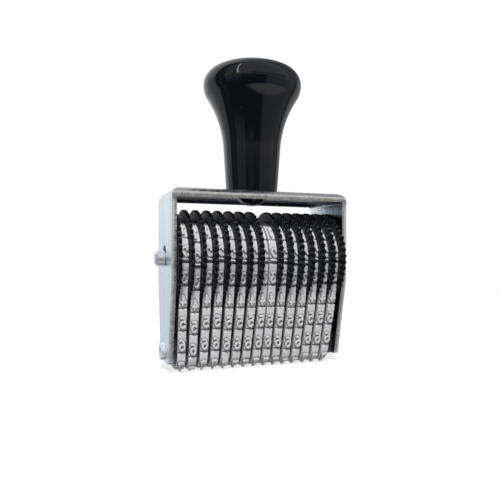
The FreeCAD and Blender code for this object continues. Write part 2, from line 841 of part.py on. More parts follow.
def band_slab(at_wheel, at_paper, width):
    """Slab as wide as a band: upright beside the wheel, below it leaning to its place at the paper."""
    bend = axle_height.value - flange_radius.value - dim.flange_clearance.value
    below = -dim.cut_overrun.value
    above = axle_height.value + flange_radius.value
    foot = at_paper + (at_wheel - at_paper) * below / bend
    way = [(foot, below), (at_wheel, bend), (at_wheel, above)]
    right = [(across + width / 2, up) for across, up in way]
    left = [(across - width / 2, up) for across, up in reversed(way)]
    depth = flange_radius.value
    corners = [FreeCAD.Vector(across, -depth, up) for across, up in right + left]
    outline = Part.makePolygon(corners + corners[:1])
    return Part.Face(outline).extrude(FreeCAD.Vector(0, 2 * depth, 0))


def build_bands():
    """Fifteen rubber bands, each beside its flange, leaning to its place at the paper.

    The row of characters sits a little to the left of the frame's middle.
    """
    belt, characters = band_stock(BandPath())
    for index in range(BAND_COUNT):
        wheel = wheel_place(index).value
        beside = dim.flange_thickness.value / 2
        at_wheel = wheel + (beside if index < LEFT_FLANGE_COUNT else -beside)
        at_paper = dim.character_pitch.value * (index - (BAND_COUNT - 1) / 2)
        at_paper -= dim.bands_aside.value
        feature = document.addObject("Part::Feature", f"band_{index + 1:02d}")
        feature.Label = feature.Name
        printing = characters.common(
            band_slab(at_wheel, at_paper, dim.character_width.value)
        )
        band = belt.common(band_slab(at_wheel, at_paper, band_width.value))
        feature.Shape = band.fuse(printing).removeSplitter()
        parts.append(feature)


def check_document():
    """Stop before anything is written if an object failed or a shape is empty or broken."""
    for item in document.Objects:
        if "Invalid" in item.State or "Error" in item.State:
            raise ValueError(f"{item.Label} failed: {item.State}")
    for part in parts:
        shape = part.Shape
        if shape.isNull() or not shape.isValid() or not shape.Solids:
            raise ValueError(f"{part.Label} has no valid solid")
        print(f"{part.Label}: {len(shape.Solids)} solid, {shape.Volume:.1f} cubic mm")


def main():
    """Build every piece, check the document and write one file per piece."""
    build_frame()
    build_anvil()
    build_axle()
    build_wheels()
    build_bands()
    build_handle()
    build_handle_bush()
    build_handle_screw()
    document.recompute()
    check_document()
    os.makedirs("parts", exist_ok=True)
    for part in parts:
        part.Shape.exportStep(f"parts/{part.Label}.step")


main()
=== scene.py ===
import logging
import math
from dataclasses import dataclass, field
from enum import Enum
from typing import Any, Iterable, Sequence

import bpy
import numpy as np
from mathutils import Matrix, Vector


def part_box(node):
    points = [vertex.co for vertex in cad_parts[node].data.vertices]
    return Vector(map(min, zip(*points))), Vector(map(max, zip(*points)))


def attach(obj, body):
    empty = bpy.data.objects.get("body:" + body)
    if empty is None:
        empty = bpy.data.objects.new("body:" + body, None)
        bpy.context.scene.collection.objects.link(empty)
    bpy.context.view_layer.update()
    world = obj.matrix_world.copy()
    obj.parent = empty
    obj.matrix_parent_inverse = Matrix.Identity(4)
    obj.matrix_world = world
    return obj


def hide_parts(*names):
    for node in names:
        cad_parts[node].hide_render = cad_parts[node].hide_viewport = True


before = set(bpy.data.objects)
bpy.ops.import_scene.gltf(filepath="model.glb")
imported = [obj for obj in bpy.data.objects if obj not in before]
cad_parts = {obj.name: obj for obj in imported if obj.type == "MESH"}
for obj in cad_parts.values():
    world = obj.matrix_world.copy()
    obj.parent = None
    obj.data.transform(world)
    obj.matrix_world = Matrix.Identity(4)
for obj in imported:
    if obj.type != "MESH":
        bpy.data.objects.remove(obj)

MM = 0.001
ROOT_BODY = "stamp_body"
BAND_COUNT = 15
LEFT_FLANGE_COUNT = 8
WHITE = (1.0, 1.0, 1.0, 1.0)
Pair = tuple[float, float]
Triple = tuple[float, float, float]

logging.basicConfig(level=logging.INFO, format="%(message)s")
log = logging.getLogger("band_numberer")


class Slot(Enum):
    """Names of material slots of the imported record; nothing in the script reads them."""

    HANDLE_BLACK = "handle_black"
    WHEEL_BLACK = "wheel_black"
    BAND_RUBBER = "band_rubber"


class Side(Enum):
    """Which side of its band a wheel carries its flange on, as a sign along X."""

    LEFT = -1
    RIGHT = 1


class Mark(Enum):
    """What stands on one pad of a band."""

    BLANK = "blank"
    STOP = "stop"
    DASH = "dash"
    SLASH = "slash"
    ZERO = "0"
    ONE = "1"
    TWO = "2"
    THREE = "3"
    FOUR = "4"
    FIVE = "5"
    SIX = "6"
    SEVEN = "7"
    EIGHT = "8"
    NINE = "9"


def box_mm(node: str) -> tuple[np.ndarray, np.ndarray]:
    """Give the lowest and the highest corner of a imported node, in millimetres."""
    low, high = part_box(node)
    return np.array(low) / MM, np.array(high) / MM


def smooth_step(value: np.ndarray, start: float, end: float) -> np.ndarray:
    """Rise from 0 at start to 1 at end along 3t^2 - 2t^3, with t the share of the way passed."""
    share = np.clip((value - start) / (end - start), 0.0, 1.0)
    return share * share * (3.0 - 2.0 * share)


def plateau(value: np.ndarray, rise: Pair, fall: Pair) -> np.ndarray:
    """Rise smoothly over the first span and fall over the second: the product of two steps."""
    return smooth_step(value, *rise) * smooth_step(-value, -fall[1], -fall[0])


def grid_points(x: Any, y: Any, z: Any) -> np.ndarray:
    """Stretch three grids to one shape and list their points as rows of X, Y and Z."""
    return np.stack(np.broadcast_arrays(x, y, z), axis=2).reshape(-1, 3)


def grid_faces(rows: int, columns: int, wrap_rows: bool, wrap_columns: bool) -> np.ndarray:
    """List the four-sided faces between neighbouring points of a grid.

    Args:
        rows: Points along the first parameter.
        columns: Points along the second parameter.
        wrap_rows: Whether the last row joins the first.
        wrap_columns: Whether the last column joins the first.

    Returns:
        Point numbers, one row of four for each face.
    """
    row = np.arange(rows if wrap_rows else rows - 1)
    column = np.arange(columns if wrap_columns else columns - 1)
    here_row, here_column = np.meshgrid(row, column, indexing="ij")
    next_row = (here_row + 1) % rows
    next_column = (here_column + 1) % columns
    corners = [
        here_row * columns + here_column,
        here_row * columns + next_column,
        next_row * columns + next_column,
        next_row * columns + here_column,
    ]
    return np.stack([corner.ravel() for corner in corners], axis=1)


def make_piece(name: str, points: np.ndarray, faces: Sequence[np.ndarray]) -> bpy.types.Object:
    """Make a smooth-shaded piece from points in millimetres.

    Args:
        name: Name of the new piece.
        points: Corner points, one row of X, Y and Z each.
        faces: Arrays of point numbers, each array with faces of one corner count.

    Returns:
        The new object, at the origin, with its place in its mesh.
    """
    mesh = bpy.data.meshes.new(name)
    sizes = np.concatenate([np.full(len(group), group.shape[1]) for group in faces])
    corners = np.concatenate([group.ravel() for group in faces]).astype(np.int32)
    starts = np.concatenate([[0], np.cumsum(sizes)[:-1]]).astype(np.int32)
    mesh.vertices.add(len(points))
    mesh.vertices.foreach_set("co", (points * MM).astype(np.float32).ravel())
    mesh.loops.add(len(corners))
    mesh.loops.foreach_set("vertex_index", corners)
    mesh.polygons.add(len(sizes))
    mesh.polygons.foreach_set("loop_start", starts)
    mesh.polygons.foreach_set("use_smooth", np.ones(len(sizes), dtype=bool))
    mesh.update(calc_edges=True)
    mesh.validate()
    piece = bpy.data.objects.new(name, mesh)
    bpy.context.scene.collection.objects.link(piece)
    return piece


def paint(piece: bpy.types.Object, name: str, values: np.ndarray) -> None:
    """Store one number per point on a piece, under a name that its finish reads."""
    layer = piece.data.attributes.new(name, "FLOAT", "POINT")
    layer.data.foreach_set("value", values.astype(np.float32).ravel())


def turned(name: str, profile: np.ndarray, segments: int) -> bpy.types.Object:
    """Turn an outline about the Z axis.

    Each point of the surface is (r cos a, r sin a, z), with r and z read along the outline and a
    round the circle. The outline starts and ends on the axis, where one point closes each pole.

    Args:
        name: Name of the new piece.
        profile: Rows of radius and height, anticlockwise as seen with the axis on the left.
        segments: Steps round the axis.

    Returns:
        The new piece.
    """
    angle = np.linspace(0.0, 2.0 * math.pi, segments, endpoint=False)
    ring = profile[1:-1]
    radius, height = ring[:, :1], ring[:, 1:]
    points = grid_points(radius * np.cos(angle), radius * np.sin(angle), height)
    poles = np.array([[0.0, 0.0, profile[0, 1]], [0.0, 0.0, profile[-1, 1]]])
    points = np.concatenate([points, poles])
    faces = grid_faces(len(ring), segments, False, True)
    around = np.arange(segments)
    following = (around + 1) % segments
    last = (len(ring) - 1) * segments
    start_pole = np.full(segments, len(points) - 2)
    first_fan = np.stack([start_pole, following, around], axis=1)
    last_fan = np.stack([start_pole + 1, last + around, last + following], axis=1)
    return make_piece(name, points, [faces, first_fan, last_fan])


class Graph:
    """Node tree of one material or of the world, with a short call for each kind of node."""

    def __init__(self, name: str, owner: Any = None) -> None:
        """Start with an empty tree.

        Args:
            name: Name of the new material, where no owner is given.
            owner: World that gets the tree, or None for a new material.
        """
        self.owner = owner or bpy.data.materials.new(name)
        self.owner.use_nodes = True
        self.tree = self.owner.node_tree
        self.tree.nodes.clear()

    @property
    def place(self) -> Any:
        """Place of the shaded point in the piece's own axes."""
        return self.node("ShaderNodeTexCoord").outputs["Object"]

    def node(self, kind: str, inputs: dict[Any, Any] | None = None, **settings: Any) -> Any:
        """Add a node and fill its settings and inputs.

        Args:
            kind: Blender's name for the node.
            inputs: Values or sockets, by input name or number.
            **settings: Properties of the node.

        Returns:
            The new node.
        """
        made = self.tree.nodes.new(kind)
        for name, value in settings.items():
            setattr(made, name, value)
        for key, value in (inputs or {}).items():
            self.feed(made.inputs[key], value)
        return made

    def feed(self, socket: Any, value: Any) -> None:
        """Link a socket into an input, or set the input to a plain value."""
        if isinstance(value, bpy.types.NodeSocket):
            self.tree.links.new(value, socket)
        else:
            socket.default_value = value

    def sum(self, operation: str, first: Any, second: Any = 0.0) -> Any:
        """Work out one sum of two values on each shaded point, by Blender's name for the sum."""
        return self.node("ShaderNodeMath", {0: first, 1: second}, operation=operation).outputs[0]

    def times(self, first: Any, second: Any) -> Any:
        """Multiply two values."""
        return self.sum("MULTIPLY", first, second)

    def plus(self, first: Any, second: Any) -> Any:
        """Add two values."""
        return self.sum("ADD", first, second)

    def noise(
        self, scale: float, detail: float, stretch: Triple | None = None, rough: float = 0.5
    ) -> Any:
        """Read a cloudy pattern in the piece's own coordinates.

        Args:
            scale: Clouds per metre.
            detail: Octaves of finer clouds.
            stretch: Scale of the coordinates along each axis, or None for even clouds.
            rough: Share that each finer octave keeps.

        Returns:
            A value about 0 to 1.
        """
        place = self.place
        if stretch:
            place = self.node("ShaderNodeMapping", {"Vector": place, "Scale": stretch}).outputs[0]
        inputs = {"Vector": place, "Scale": scale, "Detail": detail, "Roughness": rough}
        return self.node("ShaderNodeTexNoise", inputs).outputs["Fac"]

    def span(self, value: Any, low: float, high: float, start: float = 0.0, end: float = 1.0) -> Any:
        """Carry a value from the span low to high onto start to end, and clamp it there."""
        inputs = {"Value": value, "From Min": low, "From Max": high, "To Min": start, "To Max": end}
        return self.node("ShaderNodeMapRange", inputs).outputs["Result"]

    def uneven(self, pattern: Any, middle: float, spread: Pair) -> Any:
        """Vary a roughness about its middle value by a pattern, between two shares of it."""
        return self.span(pattern, 0.3, 0.7, middle * spread[0], middle * spread[1])

    def blend(self, share: Any, first: Any, second: Any) -> Any:
        """Mix two colours, the first at share 0 and the second at share 1."""
        inputs = {"Factor": share, "A": opaque(first), "B": opaque(second)}
        return self.node("ShaderNodeMix", inputs, data_type="RGBA").outputs["Result"]

    def bump(self, height: Any, strength: float, distance: float, below: Any = None) -> Any:
        """Turn a height pattern into small unevenness.

        Args:
            height: Height between 0 and 1.
            strength: Share of the effect.
            distance: Height in metres that 1 stands for.
            below: Unevenness that this one is added to.

        Returns:
            The bent normal's socket.
        """
        inputs = {"Height": height, "Strength": strength, "Distance": distance}
        if below is not None:
            inputs["Normal"] = below
        return self.node("ShaderNodeBump", inputs).outputs["Normal"]

    def axis(self, source: Any, letter: str) -> Any:
        """Take one part of a vector."""
        return self.node("ShaderNodeSeparateXYZ", {0: source}).outputs[letter]

    def value_of(self, name: str) -> Any:
        """Read a number that was painted on the piece."""
        return self.node("ShaderNodeAttribute", attribute_name=name).outputs["Fac"]

    def facing(self) -> Any:
        """Direction that the surface faces, in the piece's own axes."""
        return self.node("ShaderNodeTexCoord").outputs["Normal"]

    def finish(self, **inputs: Any) -> bpy.types.Material:
        """Close the tree with the surface shader.

        Args:
            **inputs: Shader inputs, with underscores for the blanks in their names.

        Returns:
            The finished material.
        """
        named = {key.replace("_", " "): opaque(value) for key, value in inputs.items()}
        shader = self.node("ShaderNodeBsdfPrincipled", named)
        self.node("ShaderNodeOutputMaterial", {"Surface": shader.outputs[0]})
        return self.owner


def opaque(colour: Any) -> Any:
    """Add full opacity to a plain colour of three parts, and pass anything else on."""
    if isinstance(colour, tuple) and len(colour) == 3:
        return (*colour, 1.0)
    return colour


@dataclass(frozen=True)
class PlatedSheet:
    """Bright zinc plate on sheet: cloudy bluish film, rolling marks, and duller sheared edges."""

    cool: Triple = (0.60, 0.79, 0.82)
    warm: Triple = (0.74, 0.73, 0.84)
    plate_film: Triple = (0.70, 0.70, 0.71)
    # Painted light: the plate's film turns lighter and warmer to the right.
    plate_film_right_painted_light: Triple = (0.88, 0.86, 0.80)
    # Painted shade: dark navy on the plate's underside.
    painted_underside_shade: Triple = (0.018, 0.022, 0.04)
    # Painted shade: dark blue-grey on the cheeks' inner faces, deepest towards the front.
    cheek_inner_shade: Triple = (0.15, 0.19, 0.24)
    sheared: Triple = (0.24, 0.24, 0.21)
    sheared_bright: Triple = (0.64, 0.63, 0.61)
    torn: Triple = (0.02, 0.022, 0.03)
    gloss_roughness: float = 0.27
    gloss_spread: Pair = (0.7, 1.4)
    sheared_roughness: float = 0.42
    sheared_spread: Pair = (0.8, 1.2)
    sheared_metal: float = 0.45
    cloud_scale: float = 75.0
    cloud_stretch: Triple = (1.0, 1.0, 0.35)
    streak_scale: float = 900.0
    streak_stretch: Triple = (1.0, 1.0, 0.04)
    shear_stretch: Triple = (1.0, 0.03, 1.0)
    tick_scale: float = 4600.0
    tick_stretch: Triple = (0.3, 0.02, 1.0)
    half_depth: float = 0.0105
    back_warmth: float = 0.24
    warm_from: Pair = (0.42, 0.85)
    painted_light_right_from: Pair = (-0.004, 0.014)
    edge_from: Pair = (0.93, 0.985)
    down_from: Pair = (-0.3, -0.8)
    inward_from: Pair = (-0.5, -0.9)
    inner_shade_depth_from: Pair = (0.009, -0.003)
    torn_from: Pair = (0.50, 0.62)
    torn_share: float = 0.85
    bright_from: Pair = (0.35, 0.95)
    plate_zone: Pair = (0.0450, 0.0464)
    plate_shear: Pair = (0.0474, 0.0479)
    plate_lift: Pair = (-0.10, 0.50)
    cheek_shear: Pair = (0.0244, 0.0249)
    cheek_lift: Pair = (0.05, 0.5)
    # Painted light: the cheeks' sheared edges grow lighter towards the top.
    painted_light_climb: Pair = (0.024, 0.046)
    painted_light_climb_lift: Pair = (-0.15, 0.12)

    def material(self) -> bpy.types.Material:
        """Build the material: film on the broad faces, and sheared grain on the edges.

        Returns:
            The plated sheet's material.
        """
        graph = Graph("zinc_plated_sheet")
        times, plus, span, blend = graph.times, graph.plus, graph.span, graph.blend
        across_x, depth, height = (graph.axis(graph.place, letter) for letter in "XYZ")
        facing_x, facing_y, facing_z = (graph.axis(graph.facing(), letter) for letter in "XYZ")
        aside = graph.sum("ABSOLUTE", across_x)
        plate = span(height, *self.plate_zone)
        off_plate = graph.sum("SUBTRACT", 1.0, plate)
        downward = span(facing_z, *self.down_from)

        clouds = graph.noise(self.cloud_scale, 4.0, self.cloud_stretch)
        to_back = span(depth, 0.0, self.half_depth, 0.0, self.back_warmth)
        cheek_film = blend(span(plus(clouds, to_back), *self.warm_from), self.cool, self.warm)
        # Painted light: the plate's film grows lighter and warmer to the right.
        plate_film = blend(span(across_x, *self.painted_light_right_from), self.plate_film, self.plate_film_right_painted_light)
        film = blend(plate, cheek_film, plate_film)
        # Painted shade: the plate's downward faces are painted dark navy.
        film = blend(times(downward, plate), film, self.painted_underside_shade)
        # Painted shade: the cheeks' inner faces darken towards the front.
        turned_in = times(facing_x, graph.sum("SIGN", across_x))
        shade_darkened = times(span(turned_in, *self.inward_from), span(depth, *self.inner_shade_depth_from))
        film = blend(shade_darkened, film, self.cheek_inner_shade)

        marks = graph.noise(self.streak_scale, 4.0, self.shear_stretch)
        cheek = span(aside, *self.cheek_shear, *self.cheek_lift)
        # Painted light: on the cheeks the sheared edges grow lighter with height.
        on_cheek = times(plus(cheek, span(height, *self.painted_light_climb, *self.painted_light_climb_lift)), off_plate)
        on_plate = times(span(height, *self.plate_shear, *self.plate_lift), plate)
        shear = span(plus(marks, plus(on_cheek, on_plate)), *self.bright_from)
        sheared = blend(shear, self.sheared, self.sheared_bright)
        ticks = graph.noise(self.tick_scale, 2.0, self.tick_stretch)
        on_inner = times(span(aside, *self.cheek_shear[::-1]), off_plate)
        torn = times(span(ticks, *self.torn_from, 0.0, self.torn_share), on_inner)
        sheared = blend(torn, sheared, self.torn)

        on_edge = span(graph.sum("ABSOLUTE", facing_y), *self.edge_from)
        edge = graph.sum("MAXIMUM", on_edge, times(downward, off_plate))
        streaks = graph.noise(self.streak_scale, 2.0, self.streak_stretch)
        gloss = graph.uneven(streaks, self.gloss_roughness, self.gloss_spread)
        dull = graph.uneven(marks, self.sheared_roughness, self.sheared_spread)
        off_edge = graph.sum("SUBTRACT", 1.0, edge)
        waves = graph.bump(graph.noise(self.cloud_scale * 2.0, 2.0), 0.25, 0.00008)
        return graph.finish(
            Base_Color=blend(edge, film, sheared),
            Metallic=span(edge, 0.0, 1.0, 1.0, self.sheared_metal),
            Roughness=plus(times(gloss, off_edge), times(dull, edge)),
            Normal=graph.bump(streaks, 0.12, 0.00001, waves),
        )


@dataclass(frozen=True)
class TurnedMetal:
    """Turned metal: patches of wear or tarnish, and the fine rings that the tool leaves."""

    name: str
    colour: Triple
    worn: Triple
    roughness: float
    spread: Pair
    patch_scale: float
    patch_detail: float
    patch_from: Pair
    ring_scale: float
    ring_stretch: Triple
    metal: float = 1.0

    def material(self) -> bpy.types.Material:
        """Build the material.

        Returns:
            The turned metal's material.
        """
        graph = Graph(self.name)
        patches = graph.span(graph.noise(self.patch_scale, self.patch_detail), *self.patch_from)
        rings = graph.noise(self.ring_scale, 2.0, self.ring_stretch)
        return graph.finish(
            Base_Color=graph.blend(patches, self.colour, self.worn),
            Metallic=self.metal,
            Roughness=graph.uneven(rings, self.roughness, self.spread),
            Normal=graph.bump(rings, 0.2, 0.00001),
        )


PLATED_BAR = TurnedMetal(
    name="zinc_plated_bar", colour=(0.86, 0.87, 0.88), worn=(0.72, 0.73, 0.74), roughness=0.26,
    spread=(0.7, 1.5), patch_scale=500.0, patch_detail=3.0, patch_from=(0.4, 0.7),
    ring_scale=2600.0, ring_stretch=(1.0, 0.05, 0.05), metal=0.75,
)
DARK_SCREW = TurnedMetal(
    name="blackened_screw", colour=(0.10, 0.10, 0.11), worn=(0.30, 0.30, 0.31), roughness=0.34,
    spread=(0.7, 1.3), patch_scale=1100.0, patch_detail=4.0, patch_from=(0.5, 0.75),
    ring_scale=2400.0, ring_stretch=(0.2, 0.2, 1.0),
)
BRASS = TurnedMetal(
    name="machined_brass", colour=(0.72, 0.55, 0.25), worn=(0.45, 0.33, 0.16), roughness=0.25,
    spread=(0.7, 1.4), patch_scale=400.0, patch_detail=4.0, patch_from=(0.4, 0.7),
    ring_scale=2200.0, ring_stretch=(0.05, 0.05, 1.0),
)


@dataclass(frozen=True)
class PaintedShadeBar:
    """Plated bar between the cheeks, rougher and painted near-black as shade, with clean peened ends
    outside.
    """

    clean: Triple = (0.78, 0.76, 0.84)
    # Painted shade: near-black on the bar between the cheeks.
    painted_shade: Triple = (0.10, 0.10, 0.11)
    clean_from: Pair = (0.0249, 0.0250)
    clean_spot_scale: float = 420.0
    clean_spot_share: float = 0.35
    clean_roughness: float = 0.2
    shaded_roughness: float = 0.55
    end_metal: float = 0.45

    def material(self) -> bpy.types.Material:
        """Build the material.

        Returns:
            The bottom bar's material.
        """
        graph = Graph("shade_painted_bar")
        aside = graph.sum("ABSOLUTE", graph.axis(graph.place, "X"))
        # Painted shade: the bar is near-black between the cheeks, with random lighter spots, and clean
        # outside them.
        outside = graph.span(aside, *self.clean_from)
        clean_spots = graph.span(graph.noise(self.clean_spot_scale, 4.0), 0.35, 0.7, 0.0, self.clean_spot_share)
        share = graph.sum("MAXIMUM", outside, clean_spots)
        scratches = graph.noise(2600.0, 2.0, (0.04, 1.0, 1.0))
        return graph.finish(
            Base_Color=graph.blend(share, self.painted_shade, self.clean),
            Metallic=graph.span(outside, 0.0, 1.0, 1.0, self.end_metal),
            Roughness=graph.span(share, 0.0, 1.0, self.shaded_roughness, self.clean_roughness),
            Normal=graph.bump(scratches, 0.2, 0.00001),
        )


@dataclass(frozen=True)
class GlossBlack:
    """Polished black handle: deep gloss with handling marks and a few specks of dust."""

    colour: Triple = (0.0010, 0.0010, 0.0018)
    dust: Triple = (0.03, 0.03, 0.035)
    roughness: float = 0.05
    scuffed_roughness: float = 0.13

    def material(self) -> bpy.types.Material:
        """Build the material.

        Returns:
            The handle's material.
        """
        graph = Graph("gloss_black")
        specks = graph.span(graph.noise(1500.0, 2.0), 0.74, 0.8)
        smears = graph.span(graph.noise(90.0, 4.0), 0.45, 0.75)
        colour = graph.blend(specks, self.colour, self.dust)
        roughness = graph.span(smears, 0.0, 1.0, self.roughness, self.scuffed_roughness)
        normal = graph.bump(graph.noise(220.0, 2.0), 0.06, 0.0001)
        return graph.finish(Base_Color=colour, Roughness=roughness, Normal=normal, IOR=1.5)


@dataclass(frozen=True)
class MouldedBlack:
    """Satin black wheels: near-black notched rims, and side faces with grey clouds, partly dust and
    partly a painted sheen.
    """

    rim: Triple = (0.004, 0.0045, 0.008)
    face: Triple = (0.008, 0.009, 0.012)
    dust_and_sheen_grey: Triple = (0.105, 0.110, 0.115)
    rim_roughness: float = 0.42
    face_roughness: float = 0.60
    gloss: float = 0.09

    def material(self) -> bpy.types.Material:
        """Build the material.

        Returns:
            The wheels' material.
        """
        graph = Graph("moulded_black")
        tips = graph.span(graph.value_of("tip_share"), 0.0, 0.3)
        # Grey clouds on the side faces: partly dust, partly a painted sheen.
        clouds = graph.span(graph.noise(620.0, 5.0, rough=0.65), 0.38, 0.68)
        side = graph.blend(clouds, self.face, self.dust_and_sheen_grey)
        specks = graph.span(graph.noise(2600.0, 2.0), 0.66, 0.74, 0.0, 0.6)
        rim = graph.blend(specks, self.rim, self.dust_and_sheen_grey)
        colour = graph.blend(tips, side, rim)
        drop = graph.times(tips, self.face_roughness - self.rim_roughness)
        roughness = graph.sum("SUBTRACT", self.face_roughness, drop)
        normal = graph.bump(graph.noise(4200.0, 2.0), 0.25, 0.00002)
        return graph.finish(
            Base_Color=colour,
            Roughness=roughness,
            Normal=normal,
            Specular_IOR_Level=self.gloss,
        )


@dataclass(frozen=True)
class BandRubber:
    """Light grey moulded rubber: pale raised faces, buff cut sides, painted shade in the grooves and on
    the inside, and inking residue with painted shade round the figures.
    """

    face: Triple = (0.60, 0.60, 0.62)
    bleached: Triple = (0.68, 0.68, 0.69)
    # Painted shade: the grey of the groove floors.
    recess_shade: Triple = (0.30, 0.30, 0.31)
    cut_side: Triple = (0.52, 0.50, 0.46)
    # Inking residue with painted shade round the figures.
    shade_darkened: Triple = (0.025, 0.025, 0.03)
    # Painted shade: near-black on the band's inside.
    inner: Triple = (0.10, 0.10, 0.10)
    roughness: float = 0.62

    def material(self) -> bpy.types.Material:
        """Build the material.

        Returns:
            The bands' material.
        """
        graph = Graph("moulded_rubber")
        height = graph.value_of("height_share")
        side = graph.value_of("side_share")
        mottle = graph.span(graph.noise(900.0, 4.0), 0.3, 0.7)
        fine = graph.noise(5200.0, 3.0)
        top = graph.blend(mottle, self.face, self.bleached)
        # Painted shade: the grooves darken towards their floors.
        grooved = graph.blend(graph.span(height, 0.05, 0.42), self.recess_shade, top)
        # Inking residue with painted shade round the figures' strokes.
        ink_and_shade = graph.times(graph.value_of("ink_and_shade_share"), graph.span(mottle, 0.0, 1.0, 0.6, 1.0))
        with_ink_and_shade = graph.blend(ink_and_shade, grooved, self.shade_darkened)
        outside = graph.blend(side, with_ink_and_shade, self.cut_side)
        # Painted shade: the band's inside is painted near-black.
        colour = graph.blend(graph.value_of("inside_shade_share"), outside, self.inner)
        roughness = graph.span(fine, 0.3, 0.7, self.roughness * 0.85, self.roughness * 1.15)
        normal = graph.bump(fine, 0.3, 0.00002)
        return graph.finish(Base_Color=colour, Roughness=roughness, Normal=normal, IOR=1.45)


def arc(middle: Pair, reach: Pair, start: float, end: float, steps: int = 14) -> np.ndarray:
    """Points along an elliptical arc: middle + (rx cos a, ry sin a).

    Args:
        middle: Middle of the ellipse.
        reach: Its two radii.
        start: First angle in degrees.
        end: Last angle in degrees.
        steps: Steps along the arc.

    Returns:
        Rows of X and Y.
    """
    angle = np.radians(np.linspace(start, end, steps + 1))
    return np.stack([middle[0] + reach[0] * np.cos(angle), middle[1] + reach[1] * np.sin(angle)], axis=1)


class Lettering:
    """Stroke lines of the plain figures and signs, as shares of a figure's width and height."""

    def strokes(self, mark: Mark) -> list[np.ndarray]:
        """Give the lines that a pen would follow, with the middle of the figure at 0, 0.

        Args:
            mark: Figure or sign to draw.

        Returns:
            One array of points for each line.
        """
        top_bowl = ((0.0, 0.2), (0.5, 0.3))
        low_bowl = ((0.0, -0.2), (0.5, 0.3))
        zero = [arc(*top_bowl, 0, 180), arc(*low_bowl, 180, 360), [[0.5, 0.2]]]
        two = [arc(*top_bowl, 170, -25), [[-0.48, -0.5], [0.5, -0.5]]]
        three = [[[-0.45, 0.5], [0.42, 0.5], [-0.05, 0.1]], arc((-0.03, -0.2), (0.5, 0.3), 88, -155)]
        five = [[[0.42, 0.5], [-0.36, 0.5], [-0.42, 0.02]], arc((-0.02, -0.17), (0.5, 0.33), 135, -155)]
        six = [arc(*low_bowl, 0, 360, 24), arc((0.22, -0.14), (0.72, 0.64), 180, 72)]
        eight = [
            arc((0.0, 0.27), (0.42, 0.23), 0, 360, 20),
            arc((0.0, -0.22), (0.5, 0.28), 0, 360, 24),
        ]
        table = {
            Mark.BLANK: [],
            Mark.STOP: [np.array([[0.0, -0.46], [0.0, -0.4]])],
            Mark.DASH: [np.array([[-0.4, 0.0], [0.4, 0.0]])],
            Mark.SLASH: [np.array([[-0.35, -0.5], [0.35, 0.5]])],
            Mark.ZERO: [np.concatenate(zero)],
            Mark.ONE: [np.array([[-0.25, 0.3], [0.08, 0.5], [0.08, -0.5]])],
            Mark.TWO: [np.concatenate(two)],
            Mark.THREE: [np.concatenate(three)],
            Mark.FOUR: [np.array([[0.2, -0.5], [0.2, 0.5], [-0.5, -0.22], [0.5, -0.22]])],
            Mark.FIVE: [np.concatenate(five)],
            Mark.SIX: six,
            Mark.SEVEN: [np.array([[-0.48, 0.5], [0.48, 0.5], [-0.1, -0.5]])],
            Mark.EIGHT: eight,
            Mark.NINE: [-line for line in six],
        }
        return table[mark]


def distance_to_lines(points: np.ndarray, lines: Iterable[np.ndarray]) -> np.ndarray:
    """Shortest distance from each point to any of the given lines.

    Each piece from p to q is met at p + t (q - p), with t the point's share along it, held
    between 0 and 1.

    Args:
        points: Rows of X and Y.
        lines: Arrays of points, joined in their order.

    Returns:
        One distance per point.
    """
    nearest = np.full(len(points), np.inf)
    for line in lines:
        start = line[:-1]
        way = line[1:] - start
        offset = points[:, None, :] - start
        share = (offset * way).sum(2) / np.maximum((way * way).sum(1), 1e-12)
        met = offset - np.clip(share, 0.0, 1.0)[:, :, None] * way
        nearest = np.minimum(nearest, np.sqrt((met * met).sum(2)).min(1))
    return nearest


@dataclass
class BandWay:
    """Closed way of a band's inner face in the Y-Z plane, measured from the middle of its bottom."""

    axle_height: float
    seat_radius: float
    bar_half_width: float
    bar_bottom: float
    bar_corner: float = 2.0
    seat_clearance: float = 0.1
    belt_middle: float = 0.5

    def __post_init__(self) -> None:
        """Work out the straight, bent and wrapped stretches."""
        self.bend = self.bar_corner + self.seat_clearance
        self.flat = self.bar_half_width - self.bar_corner
        self.turn_height = self.bar_bottom + self.bar_corner
        drop = self.axle_height - self.turn_height
        span = math.hypot(drop, self.flat)
        self.lean = math.asin((self.seat_radius - self.bend) / span) - math.atan2(self.flat, drop)
        self.bend_angle = math.pi / 2 - self.lean
        self.wrap_angle = math.pi / 2 + self.lean
        self.bend_length = (self.bend + self.belt_middle) * self.bend_angle
        self.run = math.sqrt(span**2 - (self.seat_radius - self.bend) ** 2)
        self.wrap_length = (self.seat_radius + self.belt_middle) * self.wrap_angle
        self.half_length = self.flat + self.bend_length + self.run + self.wrap_length

    def station(self, along: np.ndarray) -> tuple[np.ndarray, np.ndarray]:
        """Points and outward directions along the way, positive distances up the front.

        The direction turns by the share of each bend that is passed. A point lies on the flat, on
        the bar's corner circle, on the straight run that touches both circles, or on the hub.

        Args:
            along: Distances from the middle of the bottom.

        Returns:
            Points and directions, as rows of Y and Z.
        """
        left = np.abs(along)
        run_start = self.flat + self.bend_length
        run_end = run_start + self.run
        bent = np.clip((left - self.flat) / self.bend_length, 0.0, 1.0) * self.bend_angle
        wrapped = np.clip((left - run_end) / self.wrap_length, 0.0, 1.0) * self.wrap_angle
        turn = bent + wrapped
        normal = np.stack([np.sin(turn), -np.cos(turn)], axis=1)
        tangent = np.stack([np.cos(turn), np.sin(turn)], axis=1)
        corner = np.array([self.flat, self.turn_height])
        on_bar = corner + normal * self.bend
        on_bar[:, 0] -= np.maximum(self.flat - left, 0.0)
        on_run = on_bar + tangent * (left - run_start)[:, None]
        on_hub = np.array([0.0, self.axle_height]) + normal * self.seat_radius
        straight = (left > run_start) & (left <= run_end)
        point = np.where(straight[:, None], on_run, on_bar)
        point = np.where((left > run_end)[:, None], on_hub, point)
        to_front = np.where(along >= 0.0, -1.0, 1.0)
        point[:, 0] *= to_front
        normal[:, 0] *= to_front
        return point, normal


